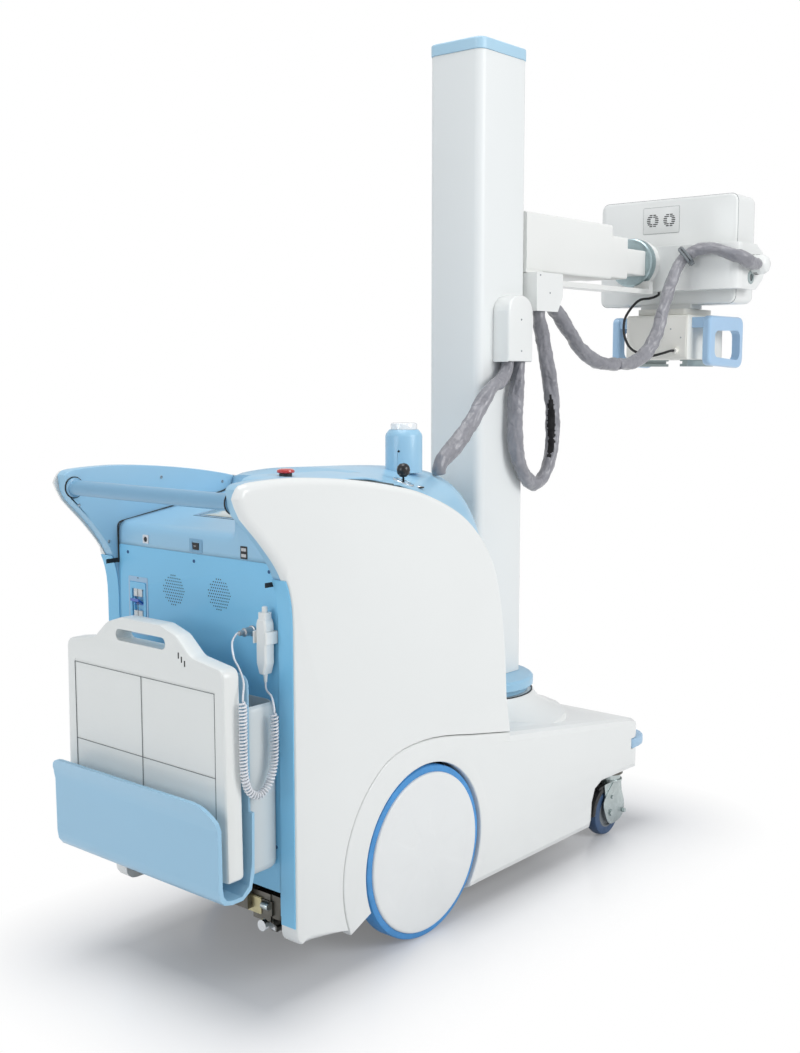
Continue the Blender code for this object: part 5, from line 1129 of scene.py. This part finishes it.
def head():
    for node in ("yoke", "housing_back", "housing_front"):
        refined(node, WHITE)
    refined("cable_terminal", WHITE, 0.0008)
    vents()
    loop = round_rect((-0.2772, 1.4238), (0.1732, 1.7372), 0.022, 8)
    line = [P(HEAD_REAR + 0.0105, y, z) for y, z in loop + loop[:1]]
    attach(curve_piece("housing_seam", line, 0.0007, LINE, 2), "head")
    # Black boxes painted as the shade inside the terminal's slots.
    marks = []
    for k in [k for k in range(24) if k % 6 < 3]:
        place = Matrix.Translation((1.985, 0, 1.532)) @ Matrix.Rotation(2 * pi * k / 24, 4, "Y")
        for y in (-0.306, -0.33):
            mark = box((-0.0012, y - 0.0055, 0.0279), (0.0012, y + 0.0055, 0.0285))
            bmesh.ops.transform(mark, matrix=place, verts=mark.verts)
            marks.append(mark)
    piece("terminal_slots", joined(*marks), BLACK, "head")
    hole = (1.967, 0, 1.4956)
    ring = turned([(0.0105, -0.3178), (0.019, -0.3178), (0.019, -0.3196), (0.0175, -0.3204),
        (0.0105, -0.3204)], "y", hole, 48)
    piece("yoke_ring", ring, RAIL_GREY, "head", bevel=0.0004)
    # A dark disc painted as the shade inside the hole in the ring.
    piece("yoke_hole", rod("y", hole, 0.0105, -0.3178, -0.3184), SCREEN_DARK, "head")
    plate = slab(round_rect((1.93, -0.132), (2.1, 0.027), 0.008), "z", 1.395, 1.412, 0.001, 2, both=True)
    piece("collimator_plate", plate, WARM, "head", angle=40)
    second_look(refined("collimator", WARM), RAIL_GREY, lambda c: c.z < COLLIMATOR_FOOT - 0.0002)
    cover = sheet((-0.15, 1.268), (0.045, 1.388), 0.006, COLLIMATOR_BACK - 0.0002, 0.0014, 0.0005)
    piece("collimator_cover", cover, WARM, "collimator")
    x = COLLIMATOR_BACK - 0.0016
    screws("collimator_screws", [(x, -0.1009, 1.3519), (x, -0.1344, 1.3265)], (-1, 0, 0), 0.0024,
        "collimator")
    for tag in ("right", "left"):
        refined("collimator_handle_" + tag, HANDLE_BLUE, 0.0045, 24, 5)
        refined("field_knob_" + tag, BLACK, 0.0006)


def hose_clamp():
    """The grey two-part clamp where the head's sleeve bends over."""
    path = route_of(HEAD_HOSE, 0.0035)[0]
    middle = min(path, key=lambda p: (p - P(1.85, -0.174, 1.554)).length)
    i = path.index(middle)
    along = (path[i + 2] - path[i - 2]).normalized()
    across = along.cross(Vector((1, 0, 0))).normalized()
    turn = Matrix((across, along.cross(across), along)).transposed().to_4x4()
    parts = [slab(round_rect((-0.0235, -0.0235), (0.0235, 0.0235), 0.007), "z", h, h + 0.0075, 0.0015, 2,
        both=True) for h in (-0.0085, 0.001)]
    parts += [box((u, -0.008, -0.006), (u + 0.009, 0.008, 0.006)) for u in (-0.031, 0.022)]
    clamp = joined(*parts)
    bmesh.ops.transform(clamp, matrix=Matrix.Translation(middle) @ turn, verts=clamp.verts)
    item = holder(clamp, "hose_clamp")
    item.data.materials.append(GREY_PLASTIC)
    finish_edges(item, 0.0006, 32)
    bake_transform(item)


def detector_lines():
    """Thin border, centre cross and three small slots on the detector's face."""
    x = -0.0008
    (y0, z0), (y1, z1) = (-0.215, 0.3), (0.215, 0.635)
    strips = [(y0, z0, y0 + 0.0012, z1), (y1 - 0.0012, z0, y1, z1), (y0, z1 - 0.0012, y1, z1),
        (-0.0006, z0, 0.0006, z1), (y0, 0.472, y1, 0.4732)]
    lines = [box((x - 0.00012, a, b), (x + 0.0006, c, d)) for a, b, c, d in strips]
    piece("detector_lines", joined(*lines), LINE, "flat_detector")
    # Black boxes painted as the shade inside the three slots.
    slots = []
    for k in range(3):
        y, z = -0.115 - 0.0088 * k, 0.693 - 0.0068 * k
        slots.append(box((x - 0.0002, y - 0.0015, z - 0.0058), (x + 0.0006, y + 0.0015, z + 0.0058)))
    piece("detector_slots", joined(*slots), BLACK, "flat_detector")


def attachments():
    refined("flat_detector", DETECTOR_EDGE, 0.003, 30, 3)
    detector_lines()
    refined("detector_bin", BLUE, 0.0016, 40, 3)
    refined("storage_box", STORAGE, 0.001)
    for node, bevel in (("handset_cradle", 0.0008), ("handset", 0.0008), ("handset_button", 0.0005)):
        refined(node, WHITE, bevel)


column()
head()
hose_clamp()
attachments()
